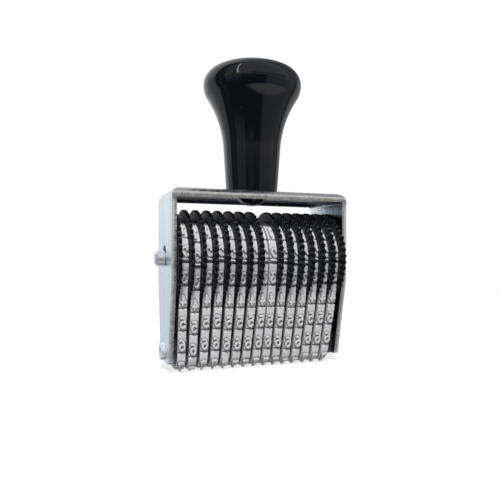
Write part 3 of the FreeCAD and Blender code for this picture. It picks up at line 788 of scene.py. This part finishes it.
@dataclass
class NumberBand:
    """One rubber number band: a belt with grooved pads, each with a reversed figure on it."""

    number: int
    way: BandWay
    at_wheel: float
    at_paper: float
    slip: float
    half_width: float = 1.08
    belt: float = 1.0
    pad_height: float = 0.5
    type_height: float = 0.6
    pad_pitch: float = 6.06
    groove_width: float = 0.30
    groove_slope: float = 0.12
    extra_groove_rise: float = 1.05
    figure_height: float = 2.62
    figure_width: float = 1.24
    figure_rise: float = 2.15
    stroke: float = 0.23
    stroke_slope: float = 0.11
    # Reach and gap of the inking residue with painted shade round the strokes.
    ink_and_shade_reach: float = 0.30
    ink_and_shade_gap: float = 0.02
    edge_round: float = 0.09
    lean_start: float = 18.4
    lean_blend: float = 3.2
    paper_height: float = 0.0
    waist: float = 0.09
    swell: float = 2.5
    swell_from: Pair = (7.9, 9.8)
    swell_to: Pair = (17.6, 20.2)
    columns: int = 37
    groove_reach: float = 0.32
    rows_at_groove: int = 9
    figure_reach: float = 1.68
    rows_at_figure: int = 50
    rows_between: int = 160
    least_step: float = 0.045
    side_heights: tuple[float, ...] = (0.8, 0.55, 0.3, 0.06)
    side_insets: tuple[float, ...] = (0.0, 0.04, 0.05, 0.05)
    inner_places: tuple[float, ...] = (0.97, 0.0, -0.97)
    inner_below: float = 0.2
    sequence: tuple[Mark, ...] = (
        Mark.BLANK, Mark.BLANK, Mark.SLASH, Mark.DASH, Mark.STOP, Mark.ZERO, Mark.NINE, Mark.EIGHT,
        Mark.SEVEN, Mark.SIX, Mark.FIVE, Mark.FOUR, Mark.THREE, Mark.TWO, Mark.ONE,
    )
    lettering: Lettering = field(default_factory=Lettering)

    @property
    def name(self) -> str:
        """Name of the band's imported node."""
        return f"band_{self.number:02d}"

    def pad_edges(self) -> np.ndarray:
        """Distances of the grooves between pads, with the band's own slip."""
        count = len(self.sequence)
        return (np.arange(count + 1) - count / 2) * self.pad_pitch + self.slip

    def grooves(self) -> np.ndarray:
        """Middles of all grooves, with the second one that stands above the figure 3."""
        edges = self.pad_edges()
        second = edges[self.sequence.index(Mark.TWO)] + self.extra_groove_rise
        return np.append(edges, second)

    def stations(self) -> np.ndarray:
        """Cut the band into rows, close on grooves and figures and wide between.

        Returns:
            Distances along the band, in rising order.
        """
        half = self.way.half_length
        at_groove = np.linspace(-self.groove_reach, self.groove_reach, self.rows_at_groove)
        at_figure = np.linspace(-self.figure_reach, self.figure_reach, self.rows_at_figure)
        grooves = at_groove + self.grooves()[:, None]
        figures = at_figure + self.pad_edges()[:-1, None] + self.figure_rise
        wide = np.linspace(-half, half, self.rows_between, endpoint=False)
        along = np.sort(np.concatenate([grooves.ravel(), figures.ravel(), wide]))
        along = along[(along >= -half) & (along < half)]
        return along[np.concatenate([[True], np.diff(along) > self.least_step])]

    def groove_share(self, along: np.ndarray) -> np.ndarray:
        """How far each distance lies inside a groove: 1 on its floor and 0 on a pad."""
        away = np.abs(along[:, None] - self.grooves()[None, :]).min(1)
        half = self.groove_width / 2
        return 1.0 - smooth_step(away, half, half + self.groove_slope)

    def relief(self, along: np.ndarray, across: np.ndarray) -> tuple[np.ndarray, np.ndarray]:
        """Height of the outer face over the inner face, and the inking residue with painted shade round
        the figures.

        The height is the belt, plus the pad outside the grooves, plus the type height within half
        a stroke of a figure's line, which falls smoothly to nothing over the stroke's slope. The
        share of inking residue and painted shade is full at the foot of that slope and falls to
        nothing over its own reach.

        Args:
            along: Distance along the band, one per row.
            across: Distance across the band, one per column.

        Returns:
            Heights and shares of inking residue and painted shade, one row for each distance along.
        """
        floor = 1.0 - self.groove_share(along)
        height = np.repeat((self.belt + self.pad_height * floor)[:, None], len(across), axis=1)
        ink_and_shade = np.zeros_like(height)
        scale = np.array([self.figure_width, self.figure_height])
        foot = self.stroke + self.stroke_slope
        reach = self.figure_height / 2 + foot + self.ink_and_shade_reach
        for mark, edge in zip(self.sequence, self.pad_edges()[:-1]):
            lines = [line * scale for line in self.lettering.strokes(mark)]
            local = along - edge - self.figure_rise
            rows = np.flatnonzero(np.abs(local) < reach)
            if not lines or not len(rows):
                continue
            up, reversed_right = np.meshgrid(local[rows], -across, indexing="ij")
            flat = np.stack([reversed_right.ravel(), up.ravel()], axis=1)
            away = distance_to_lines(flat, lines).reshape(up.shape)
            height[rows] += self.type_height * (1.0 - smooth_step(away, self.stroke, foot))
            outside = 1.0 - smooth_step(away, foot, foot + self.ink_and_shade_reach)
            ink_and_shade[rows] = outside * smooth_step(away, self.stroke + self.ink_and_shade_gap, foot)
        return height, ink_and_shade

    def middle_line(self, height: np.ndarray) -> np.ndarray:
        """Place of the band's middle along X: upright at the wheel, leaning below it.

        The lean runs straight to the paper, and eases in over a short stretch, where its share
        is the square of the way passed.

        Args:
            height: Height above the paper.

        Returns:
            X for each height.
        """
        start = self.lean_start
        ease = self.lean_blend
        slope = (self.at_paper - self.at_wheel) / (start - ease / 2 - self.paper_height)
        below = np.maximum(start - height, 0.0)
        eased = np.where(below < ease, below**2 / (2 * ease), below - ease / 2)
        return self.at_wheel + slope * eased

    def build(self) -> bpy.types.Object:
        """Build the band as one closed surface over the way round and the way across.

        Every row is a closed outline: the relief across the outer face, down one cut side, back
        along the inner face and up the other side. Rows follow the band's way round. On the free
        runs between the wheel and the bar the inner face swells inwards, as a slack band does.

        Returns:
            The band's piece.
        """
        along = self.stations()
        point, normal = self.way.station(along)
        share = np.linspace(-1.0, 1.0, self.columns)
        across = share * self.half_width
        height, ink_and_shade = self.relief(along, across)
        over_edge = np.maximum(np.abs(across) - (self.half_width - self.edge_round), 0.0)
        height -= self.edge_round - np.sqrt(np.maximum(self.edge_round**2 - over_edge**2, 0.0))
        narrow = (self.half_width - self.waist * self.groove_share(along))[:, None]
        side_height = height[:, -1:] * np.array(self.side_heights)
        side_x = np.minimum(narrow, self.half_width - np.array(self.side_insets))
        inner_x = np.repeat([np.array(self.inner_places) * self.half_width], len(along), axis=0)
        free = plateau(point[:, 1], self.swell_from, self.swell_to)
        inner_height = np.repeat(-self.swell * free[:, None], len(self.inner_places), axis=1)
        x = np.concatenate([narrow * share, side_x, inner_x, -side_x[:, ::-1]], axis=1)
        h = np.concatenate([height, side_height, inner_height, side_height[:, ::-1]], axis=1)
        y = point[:, :1] + normal[:, :1] * h
        z = point[:, 1:] + normal[:, 1:] * h
        faces = grid_faces(len(along), x.shape[1], True, True)
        piece = make_piece(f"rubber_{self.name}", grid_points(x + self.middle_line(z), y, z), [faces])
        # Inking residue with painted shade, on the outer face only.
        ink_and_shade_share = np.zeros_like(h)
        ink_and_shade_share[:, : self.columns] = ink_and_shade
        side = np.zeros_like(h)
        side[:, self.columns :] = 1.0
        raised = (h - self.belt) / (self.pad_height + self.type_height)
        paint(piece, "height_share", np.clip(raised, 0.0, 1.0))
        paint(piece, "ink_and_shade_share", ink_and_shade_share)
        paint(piece, "side_share", side)
        # Painted shade on the band's inside.
        paint(piece, "inside_shade_share", np.where(h < self.belt * self.inner_below, 1.0, 0.0))
        return piece


@dataclass
class BandSet:
    """The fifteen rubber bands, placed beside their wheels' flanges."""

    character_pitch: float = 3.0
    flange_thickness: float = 0.86
    paper_shift: float = -0.75
    band_seat_radius: float = 8.8
    middle_gap: float = 0.26
    base_slip: float = -0.45
    slips: tuple[float, ...] = (
        0.0, -1.25, 0.0, 0.1, -0.35, -0.4, -0.4, -0.3, -0.3, -0.4, -0.8, -0.8, 0.0, -0.15, -0.1,
    )

    def build(self, material: bpy.types.Material) -> list[bpy.types.Object]:
        """Build, dress and seat all bands.

        Args:
            material: The rubber's material.

        Returns:
            The bands' pieces.
        """
        bar_low, bar_high = box_mm("anvil")
        wheel_low, wheel_high = box_mm("wheel_01")
        way = BandWay(
            axle_height=float(wheel_low[2] + wheel_high[2]) / 2,
            seat_radius=self.band_seat_radius,
            bar_half_width=float(bar_high[1]),
            bar_bottom=float(bar_low[2]),
        )
        pieces = []
        for index in range(BAND_COUNT):
            low, high = box_mm(f"wheel_{index + 1:02d}")
            side = 1 if index < LEFT_FLANGE_COUNT else -1
            beside = side * self.flange_thickness / 2
            if index in (LEFT_FLANGE_COUNT - 1, LEFT_FLANGE_COUNT):
                beside -= side * self.middle_gap / 2
            band = NumberBand(
                number=index + 1,
                way=way,
                at_wheel=float(low[0] + high[0]) / 2 + beside,
                at_paper=self.character_pitch * (index - (BAND_COUNT - 1) / 2) + self.paper_shift,
                slip=self.base_slip + self.slips[index],
            )
            piece = band.build()
            seat(piece, ROOT_BODY, material, band.name)
            pieces.append(piece)
        return pieces


@dataclass
class ThumbWheel:
    """One moulded wheel: a notched thumb flange beside the smooth hub under the band."""

    number: int
    flange_thickness: float = 0.86
    hub_radius: float = 8.7
    web_radius: float = 10.6
    bore_radius: float = 2.25
    face_step: float = 1.2
    hub_fillet: Pair = (0.02, 0.1)
    hub_chamfer: float = 0.12
    tooth_count: int = 46
    notch_radius: float = 0.62
    notch_outset: float = 0.03
    rim_round: float = 0.1
    tip_fade: float = 1.6
    steps_per_tooth: int = 12
    turn_share: float = 0.37

    @property
    def name(self) -> str:
        """Name of the wheel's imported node."""
        return f"wheel_{self.number:02d}"

    @property
    def side(self) -> Side:
        """Side of the band that the flange stands on."""
        return Side.LEFT if self.number <= LEFT_FLANGE_COUNT else Side.RIGHT

    def notch_depth(self, angle: np.ndarray) -> np.ndarray:
        """Depth of the notches under the rim: a row of round notches, one per tooth.

        At a distance a along the rim from a notch's middle it is sqrt(r^2 - a^2) less the outset
        of the notch's middle, and nothing where that is negative.

        Args:
            angle: Angles round the wheel, with a notch in the middle at 0.

        Returns:
            The depth at each angle.
        """
        step = 2.0 * math.pi / self.tooth_count
        away = (angle + step / 2) % step - step / 2
        arc_length = away * self.rim_radius
        inside = np.maximum(self.notch_radius**2 - arc_length**2, 0.0)
        return np.maximum(np.sqrt(inside) - self.notch_outset, 0.0)

    def build(self) -> bpy.types.Object:
        """Build the wheel as one closed surface over the angle and the way round its section.

        The section runs up the flange's outer face, over the rounded rim, down to the hub, along
        it and back through the bore. Where it comes near the rim, its radius is the rim's radius
        less the notch depth and less the rounding at that place.

        Returns:
            The wheel's piece.
        """
        low, high = box_mm(self.name)
        self.rim_radius = float(high[2] - low[2]) / 2
        middle_height = float(high[2] + low[2]) / 2
        left = float(low[0])
        width = float(high[0]) - left
        steps = self.tooth_count * self.steps_per_tooth
        angle = np.linspace(0.0, 2.0 * math.pi, steps, endpoint=False)
        turned_by = (self.number * self.turn_share) % 1.0 * 2.0 * math.pi / self.tooth_count
        notch = self.notch_depth(angle + turned_by)
        quarter = np.radians(np.linspace(0.0, 90.0, 4))
        rise_x = self.rim_round * (1.0 - np.cos(quarter))
        rise_r = self.rim_round * (1.0 - np.sin(quarter))
        thick, hub, web = self.flange_thickness, self.hub_radius, self.web_radius
        fillet_x, fillet_r = self.hub_fillet
        face, bore, chamfer = hub - self.face_step, self.bore_radius, self.hub_chamfer
        rim_rows = np.full(2 * len(quarter), self.rim_radius)
        hub_x = [thick, thick, thick + fillet_x, width - chamfer, width, width, width]
        hub_r = [web, hub + fillet_r, hub, hub, hub - chamfer, face, bore]
        across = np.concatenate([[0.0, 0.0, 0.0], rise_x, (thick - rise_x)[::-1], hub_x])
        radius = np.concatenate([[bore, face, web], rim_rows, hub_r])
        inset = np.concatenate([np.zeros(3), rise_r, rise_r[::-1], np.zeros(len(hub_r))])[:, None]
        on_rim = (radius >= self.rim_radius)[:, None]
        rings = np.where(on_rim, self.rim_radius - notch - inset, radius[:, None])
        tips = np.where(on_rim, 1.0 - notch * self.tip_fade, 0.0)
        x = left + across if self.side is Side.LEFT else left + width - across
        up = middle_height + rings * np.cos(angle)
        faces = grid_faces(len(x), len(angle), True, True)
        if self.side is Side.LEFT:
            faces = faces[:, ::-1]
        points = grid_points(x[:, None], rings * np.sin(angle), up)
        piece = make_piece(f"moulded_{self.name}", points, [faces])
        paint(piece, "tip_share", np.clip(tips, 0.0, 1.0))
        return piece


@dataclass
class HandleTurning:
    """Turned handle: tapered stem, hollow neck curve, round shoulder and domed head."""

    foot_radius: float = 7.375
    neck_radius: float = 8.25
    neck_height: float = 13.0
    head_height: float = 30.95
    shoulder_radius: float = 4.75
    underside_radius: float = 6.2
    bore_radius: float = 3.25
    bore_depth: float = 13.0
    foot_round: float = 0.25
    segments: int = 192

    def outline(self, head_radius: float, top: float) -> np.ndarray:
        """Half outline from the bore's end, round the foot and up to the crown.

        Four arcs run smoothly into each other. The first touches the stem's line, each next one
        touches the one before on the line through both middles, and the last crosses the axis.

        Args:
            head_radius: Largest radius of the head.
            top: Height of the crown over the foot.

        Returns:
            Rows of radius and height.
        """
        foot = np.array([self.foot_radius, 0.0])
        stem_top = np.array([self.neck_radius, self.neck_height])
        along = (stem_top - foot) / np.linalg.norm(stem_top - foot)
        outward = np.array([along[1], -along[0]])
        under_middle = np.array([head_radius - self.underside_radius, self.head_height])
        reach = stem_top - under_middle
        bend = 2.0 * (self.underside_radius - reach @ outward)
        hollow = (reach @ reach - self.underside_radius**2) / bend
        hollow_middle = stem_top + outward * hollow
        shoulder_middle = np.array([head_radius - self.shoulder_radius, self.head_height])
        rise = top - self.head_height
        gap = shoulder_middle[0] ** 2 + rise**2 - self.shoulder_radius**2
        dome = gap / (2.0 * (rise - self.shoulder_radius))
        dome_middle = np.array([0.0, top - dome])
        to_under = under_middle - hollow_middle
        to_shoulder = shoulder_middle - dome_middle
        turn_one = math.degrees(math.atan2(to_under[1], to_under[0]))
        stem_angle = math.degrees(math.atan2(-outward[1], -outward[0]))
        shoulder_angle = math.degrees(math.atan2(to_shoulder[1], to_shoulder[0]))
        rounding = self.foot_round
        deep, bore_radius = self.bore_depth, self.bore_radius
        bore = [[0.0, deep], [0.05, deep], [bore_radius, deep], [bore_radius, deep / 2]]
        flat_foot = [[bore_radius, 0.0], [self.foot_radius - rounding, 0.0]]
        corner = arc((self.foot_radius - rounding, rounding), (rounding, rounding), -75, -5, 4)
        stem = foot + np.outer(np.linspace(0.08, 0.94, 6), stem_top - foot)
        turn_one %= 360
        first = arc(tuple(hollow_middle), (hollow, hollow), stem_angle % 360, turn_one, 26)
        under = arc(tuple(under_middle), (self.underside_radius,) * 2, turn_one - 180, 0, 14)
        shoulder = arc(tuple(shoulder_middle), (self.shoulder_radius,) * 2, 0, shoulder_angle, 16)
        crown = arc(tuple(dome_middle), (dome, dome), shoulder_angle, 90, 22)
        return np.concatenate(
            [bore, flat_foot, corner, stem, first, under[1:], shoulder[1:], crown[1:]]
        )

    def build(self) -> bpy.types.Object:
        """Build the handle on its foot.

        Returns:
            The handle's piece.
        """
        low, high = box_mm("handle")
        profile = self.outline(float(high[0]), float(high[2] - low[2]))
        profile[-1, 0] = 0.0
        profile[:, 1] += low[2]
        return turned("turned_handle", profile, self.segments)


def seat(
    piece: bpy.types.Object, body: str, material: bpy.types.Material, node: str
) -> None:
    """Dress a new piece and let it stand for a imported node.

    Args:
        piece: The new piece.
        body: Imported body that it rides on.
        material: Its material.
        node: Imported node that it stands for.
    """
    piece.data.materials.append(material)
    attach(piece, body)
    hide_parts(node)


def dress_node(node: str, material: bpy.types.Material) -> None:
    """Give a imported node's object a better material.

    Args:
        node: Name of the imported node.
        material: Material for all its slots.
    """
    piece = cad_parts[node]
    if not piece.material_slots:
        piece.data.materials.append(material)
    for slot in piece.material_slots:
        slot.material = material


@dataclass(frozen=True)
class Panel:
    """One soft-edged panel on the wall of the room, between two azimuths and two elevations."""

    name: str
    turns: Pair
    lifts: Pair
    glow: float
    soft: Pair

    def share(self, turn: np.ndarray, lift: np.ndarray) -> np.ndarray:
        """How much of the panel shows at each place: 1 on it, falling to 0 over its soft edge.

        Args:
            turn: Azimuths in degrees.
            lift: Elevations in degrees.

        Returns:
            Shares between 0 and 1.
        """
        inside = np.ones_like(turn)
        for value, ends, soft in ((turn, self.turns, self.soft[0]), (lift, self.lifts, self.soft[1])):
            rise, fall = ((end - soft / 2, end + soft / 2) for end in ends)
            inside = inside * plateau(value, rise, fall)
        return inside


@dataclass(frozen=True)
class Lamp:
    """One soft square lamp: where it hangs and how long its sides are, in metres, and its power."""

    name: str
    place: Triple
    size: float
    watts: float


@dataclass
class Studio:
    """Pale floor, white surroundings, a dim room for the gloss to mirror, soft lamps, a camera."""

    floor_rings: tuple[float, ...] = (0.02, 0.1, 0.3, 0.8, 3.0)
    floor_steps: int = 96
    floor_drop: float = 0.02
    floor_colour: Triple = (0.42, 0.42, 0.42)
    floor_lift: float = 0.72
    fade: Pair = (0.12, 0.26)
    fill_level: float = 0.36
    room_radius: float = 1.4
    room_middle: float = 0.06
    room_glow: float = 0.13
    panels: tuple[Panel, ...] = (
        Panel("left_wall", (-82.0, -45.0), (-14.0, 90.0), 0.36, (6.0, 24.0)),
        Panel("right_wall", (14.0, 96.0), (-44.0, 90.0), 0.40, (14.0, 8.0)),
        Panel("low_right", (104.0, 140.0), (-34.0, 90.0), 0.52, (5.0, 8.0)),
        Panel("front_window", (-56.0, 74.0), (5.0, 90.0), 0.66, (7.0, 10.0)),
        Panel("right_shade", (94.0, 150.0), (18.0, 60.0), 0.27, (9.0, 9.0)),
        Panel("left_window", (-84.0, -62.0), (6.0, 90.0), 0.52, (5.0, 12.0)),
        Panel("back_left", (-186.0, -112.0), (-70.0, 90.0), 0.66, (5.0, 5.0)),
        Panel("back_left_window", (-144.0, -114.0), (18.0, 90.0), 1.08, (5.0, 12.0)),
        Panel("back_low", (-186.0, -142.0), (-70.0, 90.0), 0.82, (8.0, 8.0)),
        Panel("back_high", (-186.0, -142.0), (0.0, 90.0), 1.04, (8.0, 14.0)),
        Panel("back_right", (150.0, 186.0), (-70.0, 90.0), 0.66, (8.0, 8.0)),
        Panel("post", (-102.0, -88.0), (-60.0, 60.0), 0.20, (3.0, 6.0)),
        Panel("sheen", (-29.0, -11.0), (-7.0, 4.0), 0.27, (9.0, 10.0)),
        Panel("ceiling", (-190.0, 190.0), (74.0, 99.0), 0.55, (1.0, 14.0)),
    )
    table_glow: float = 0.8
    table_edge: Pair = (-39.8, 0.185)
    table_soft: float = 1.5
    table_rise: Pair = (-58.0, -44.0)
    table_fall: Pair = (80.0, 96.0)
    slit_depth: float = 0.7
    slit_lifts: tuple[Pair, Pair] = ((8.5, 9.5), (12.5, 13.5))
    slit_turns: tuple[Pair, Pair] = ((-28.0, -18.0), (55.0, 70.0))
    strip_turn: Pair = (-50.3, -0.0023)
    strip_pivot: float = -10.0
    strip_lifts: tuple[Pair, Pair] = ((12.0, 14.0), (66.0, 68.0))
    strip_half: Pair = (0.8, 1.8)
    strip_glow: float = 7.0
    dim_tint: Triple = (0.72, 0.8, 1.25)
    bright_tint: Triple = (0.95, 0.97, 1.0)
    tint_from: Pair = (0.1, 0.5)
    lamps: tuple[Lamp, ...] = (
        Lamp("key_lamp", (-0.14, -0.42, 0.58), 0.14, 4.9),
        Lamp("side_lamp", (-0.6, -0.45, 0.12), 0.4, 0.5),
    )
    lamp_aim: Triple = (0.0, 0.0, 0.04)
    eye: Triple = (-0.04856, -0.13745, 0.03310)
    eye_yaw: float = 0.337
    eye_pitch: float = -0.001
    eye_roll: float = 0.005
    lens: float = 36.06
    sensor_width: float = 36.0
    clip: Pair = (0.005, 20.0)

    def add_world(self) -> None:
        """White surroundings for the eye and the gloss, and a plain level of light for the rest."""
        world = bpy.data.worlds.new("studio")
        bpy.context.scene.world = world
        graph = Graph("studio", world)
        path = graph.node("ShaderNodeLightPath").outputs
        seen = path["Is Camera Ray"]
        for name in ("Is Glossy Ray", "Is Transmission Ray"):
            seen = graph.sum("MAXIMUM", seen, path[name])
        level = graph.span(seen, 0.0, 1.0, self.fill_level, 1.0)
        background = graph.node("ShaderNodeBackground", {"Color": WHITE, "Strength": level})
        graph.node("ShaderNodeOutputWorld", {"Surface": background.outputs[0]})

    def add_floor(self) -> None:
        """Round pale floor that fades into the white surroundings away from the object."""
        angle = np.linspace(0.0, 2.0 * math.pi, self.floor_steps, endpoint=False)
        radius = np.array(self.floor_rings)[:, None] / MM
        points = grid_points(radius * np.cos(angle), radius * np.sin(angle), -self.floor_drop)
        faces = grid_faces(len(radius), len(angle), False, True)[:, ::-1]
        floor = make_piece("floor", points, [faces, np.arange(len(angle))[None, :]])
        graph = Graph("pale_floor")
        reach = graph.node("ShaderNodeVectorMath", {0: graph.place}, operation="LENGTH")
        far = graph.span(reach.outputs["Value"], *self.fade)
        seen = graph.node("ShaderNodeLightPath").outputs["Is Camera Ray"]
        lit = graph.node("ShaderNodeBsdfDiffuse", {"Color": opaque(self.floor_colour)})
        lift = graph.times(seen, self.floor_lift)
        paler = graph.node("ShaderNodeEmission", {"Color": WHITE, "Strength": lift})
        near = graph.node("ShaderNodeAddShader", {0: lit.outputs[0], 1: paler.outputs[0]})
        white = graph.node("ShaderNodeEmission", {"Color": WHITE, "Strength": 1.0})
        layers = {0: graph.times(far, seen), 1: near.outputs[0], 2: white.outputs[0]}
        mixed = graph.node("ShaderNodeMixShader", layers)
        graph.node("ShaderNodeOutputMaterial", {"Surface": mixed.outputs[0]})
        floor.data.materials.append(graph.owner)
        floor.visible_glossy = False
        floor.visible_diffuse = False

    def room_glow_at(self, turn: np.ndarray, lift: np.ndarray) -> np.ndarray:
        """Glow of the room's walls.

        It is dim, and each panel brings its own glow. The table is the bright part below a line
        whose elevation rises to the right, a dark slit runs across the front window, and the strip
        lamp follows a line whose azimuth turns left with the square of the elevation.

        Args:
            turn: Azimuths in degrees, 0 to the front and growing to the right.
            lift: Elevations in degrees.

        Returns:
            The glow at each place.
        """
        glow = np.full_like(turn, self.room_glow)
        for panel in self.panels:
            share = panel.share(turn, lift)
            glow = glow * (1.0 - share) + panel.glow * share
        edge = self.table_edge[0] + self.table_edge[1] * turn
        on_table = smooth_step(edge - lift, -self.table_soft, self.table_soft)
        on_table *= plateau(turn, self.table_rise, self.table_fall)
        glow = glow * (1.0 - on_table) + self.table_glow * on_table
        slit = plateau(lift, *self.slit_lifts) * plateau(turn, *self.slit_turns)
        glow *= 1.0 - self.slit_depth * slit
        middle = self.strip_turn[0] + self.strip_turn[1] * (lift - self.strip_pivot) ** 2
        near, far = self.strip_half
        on_strip = plateau(lift, *self.strip_lifts) * smooth_step(-np.abs(turn - middle), -far, -near)
        return glow + self.strip_glow * on_strip

    def add_room(self) -> None:
        """Put a ball round the set, a grid in azimuth and elevation, which only the gloss mirrors."""
        azimuth = np.linspace(-180.0, 180.0, 361)[:-1]
        elevation = np.linspace(-89.0, 89.0, 120)
        turn, lift = np.meshgrid(azimuth, elevation, indexing="ij")
        reach = self.room_radius / MM
        level = reach * np.cos(np.radians(lift))
        up = reach * np.sin(np.radians(lift)) + self.room_middle / MM
        points = grid_points(np.sin(np.radians(turn)) * level, -np.cos(np.radians(turn)) * level, up)
        faces = grid_faces(len(azimuth), len(elevation), True, False)
        room = make_piece("studio_room", points, [faces])
        paint(room, "glow", self.room_glow_at(turn, lift))
        graph = Graph("studio_walls")
        glow = graph.value_of("glow")
        tint = graph.blend(graph.span(glow, *self.tint_from), self.dim_tint, self.bright_tint)
        light = graph.node("ShaderNodeEmission", {"Color": tint, "Strength": glow})
        graph.node("ShaderNodeOutputMaterial", {"Surface": light.outputs[0]})
        room.data.materials.append(graph.owner)
        for ray in ("camera", "diffuse", "transmission", "volume_scatter", "shadow"):
            setattr(room, f"visible_{ray}", False)

    def add_lamp(self, lamp: Lamp) -> None:
        """Hang one soft square lamp that looks at the object.

        Args:
            lamp: The lamp to hang.
        """
        data = bpy.data.lights.new(lamp.name, "AREA")
        data.shape = "SQUARE"
        data.size = lamp.size
        data.energy = lamp.watts
        made = bpy.data.objects.new(lamp.name, data)
        place = Vector(lamp.place)
        turn = (Vector(self.lamp_aim) - place).to_track_quat("-Z", "Y").to_matrix().to_4x4()
        made.matrix_world = Matrix.Translation(place) @ turn
        made.visible_glossy = False
        bpy.context.scene.collection.objects.link(made)

    def add_camera(self) -> None:
        """Put the eye where the photograph was taken from."""
        yaw, pitch, roll = self.eye_yaw, self.eye_pitch, self.eye_roll
        ahead = math.cos(pitch)
        forward = Vector((math.sin(yaw) * ahead, math.cos(yaw) * ahead, math.sin(pitch)))
        level = Vector((math.cos(yaw), -math.sin(yaw), 0.0))
        upright = level.cross(forward)
        right = level * math.cos(roll) + upright * math.sin(roll)
        data = bpy.data.cameras.new("eye")
        data.lens = self.lens
        data.sensor_width = self.sensor_width
        data.clip_start, data.clip_end = self.clip
        camera = bpy.data.objects.new("eye", data)
        turn = Matrix((right, right.cross(forward), -forward)).transposed()
        camera.matrix_world = Matrix.Translation(Vector(self.eye)) @ turn.to_4x4()
        bpy.context.scene.collection.objects.link(camera)
        bpy.context.scene.camera = camera

    def build(self) -> None:
        """Set up everything around the object."""
        bpy.context.scene.view_settings.view_transform = "Standard"
        self.add_camera()
        self.add_world()
        self.add_floor()
        self.add_room()
        for lamp in self.lamps:
            self.add_lamp(lamp)


def main() -> None:
    """Build the studio, then the pieces in order, and report each."""
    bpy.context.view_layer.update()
    Studio().build()
    log.info("studio ready")
    dress_node("frame", PlatedSheet().material())
    log.info("frame dressed")
    finishes = {
        "axle": PLATED_BAR,
        "anvil": PaintedShadeBar(),
        "handle_screw": DARK_SCREW,
        "handle_bush": BRASS,
    }
    for node, finish in finishes.items():
        dress_node(node, finish.material())
        log.info("%s dressed", node)
    handle = HandleTurning().build()
    seat(handle, ROOT_BODY, GlossBlack().material(), "handle")
    log.info("%s built", handle.name)
    moulded = MouldedBlack().material()
    for number in range(1, BAND_COUNT + 1):
        wheel = ThumbWheel(number)
        piece = wheel.build()
        seat(piece, f"{wheel.name}_body", moulded, wheel.name)
        log.info("%s built", piece.name)
    for piece in BandSet().build(BandRubber().material()):
        log.info("%s built with %d faces", piece.name, len(piece.data.polygons))


if __name__ == "__main__":
    main()
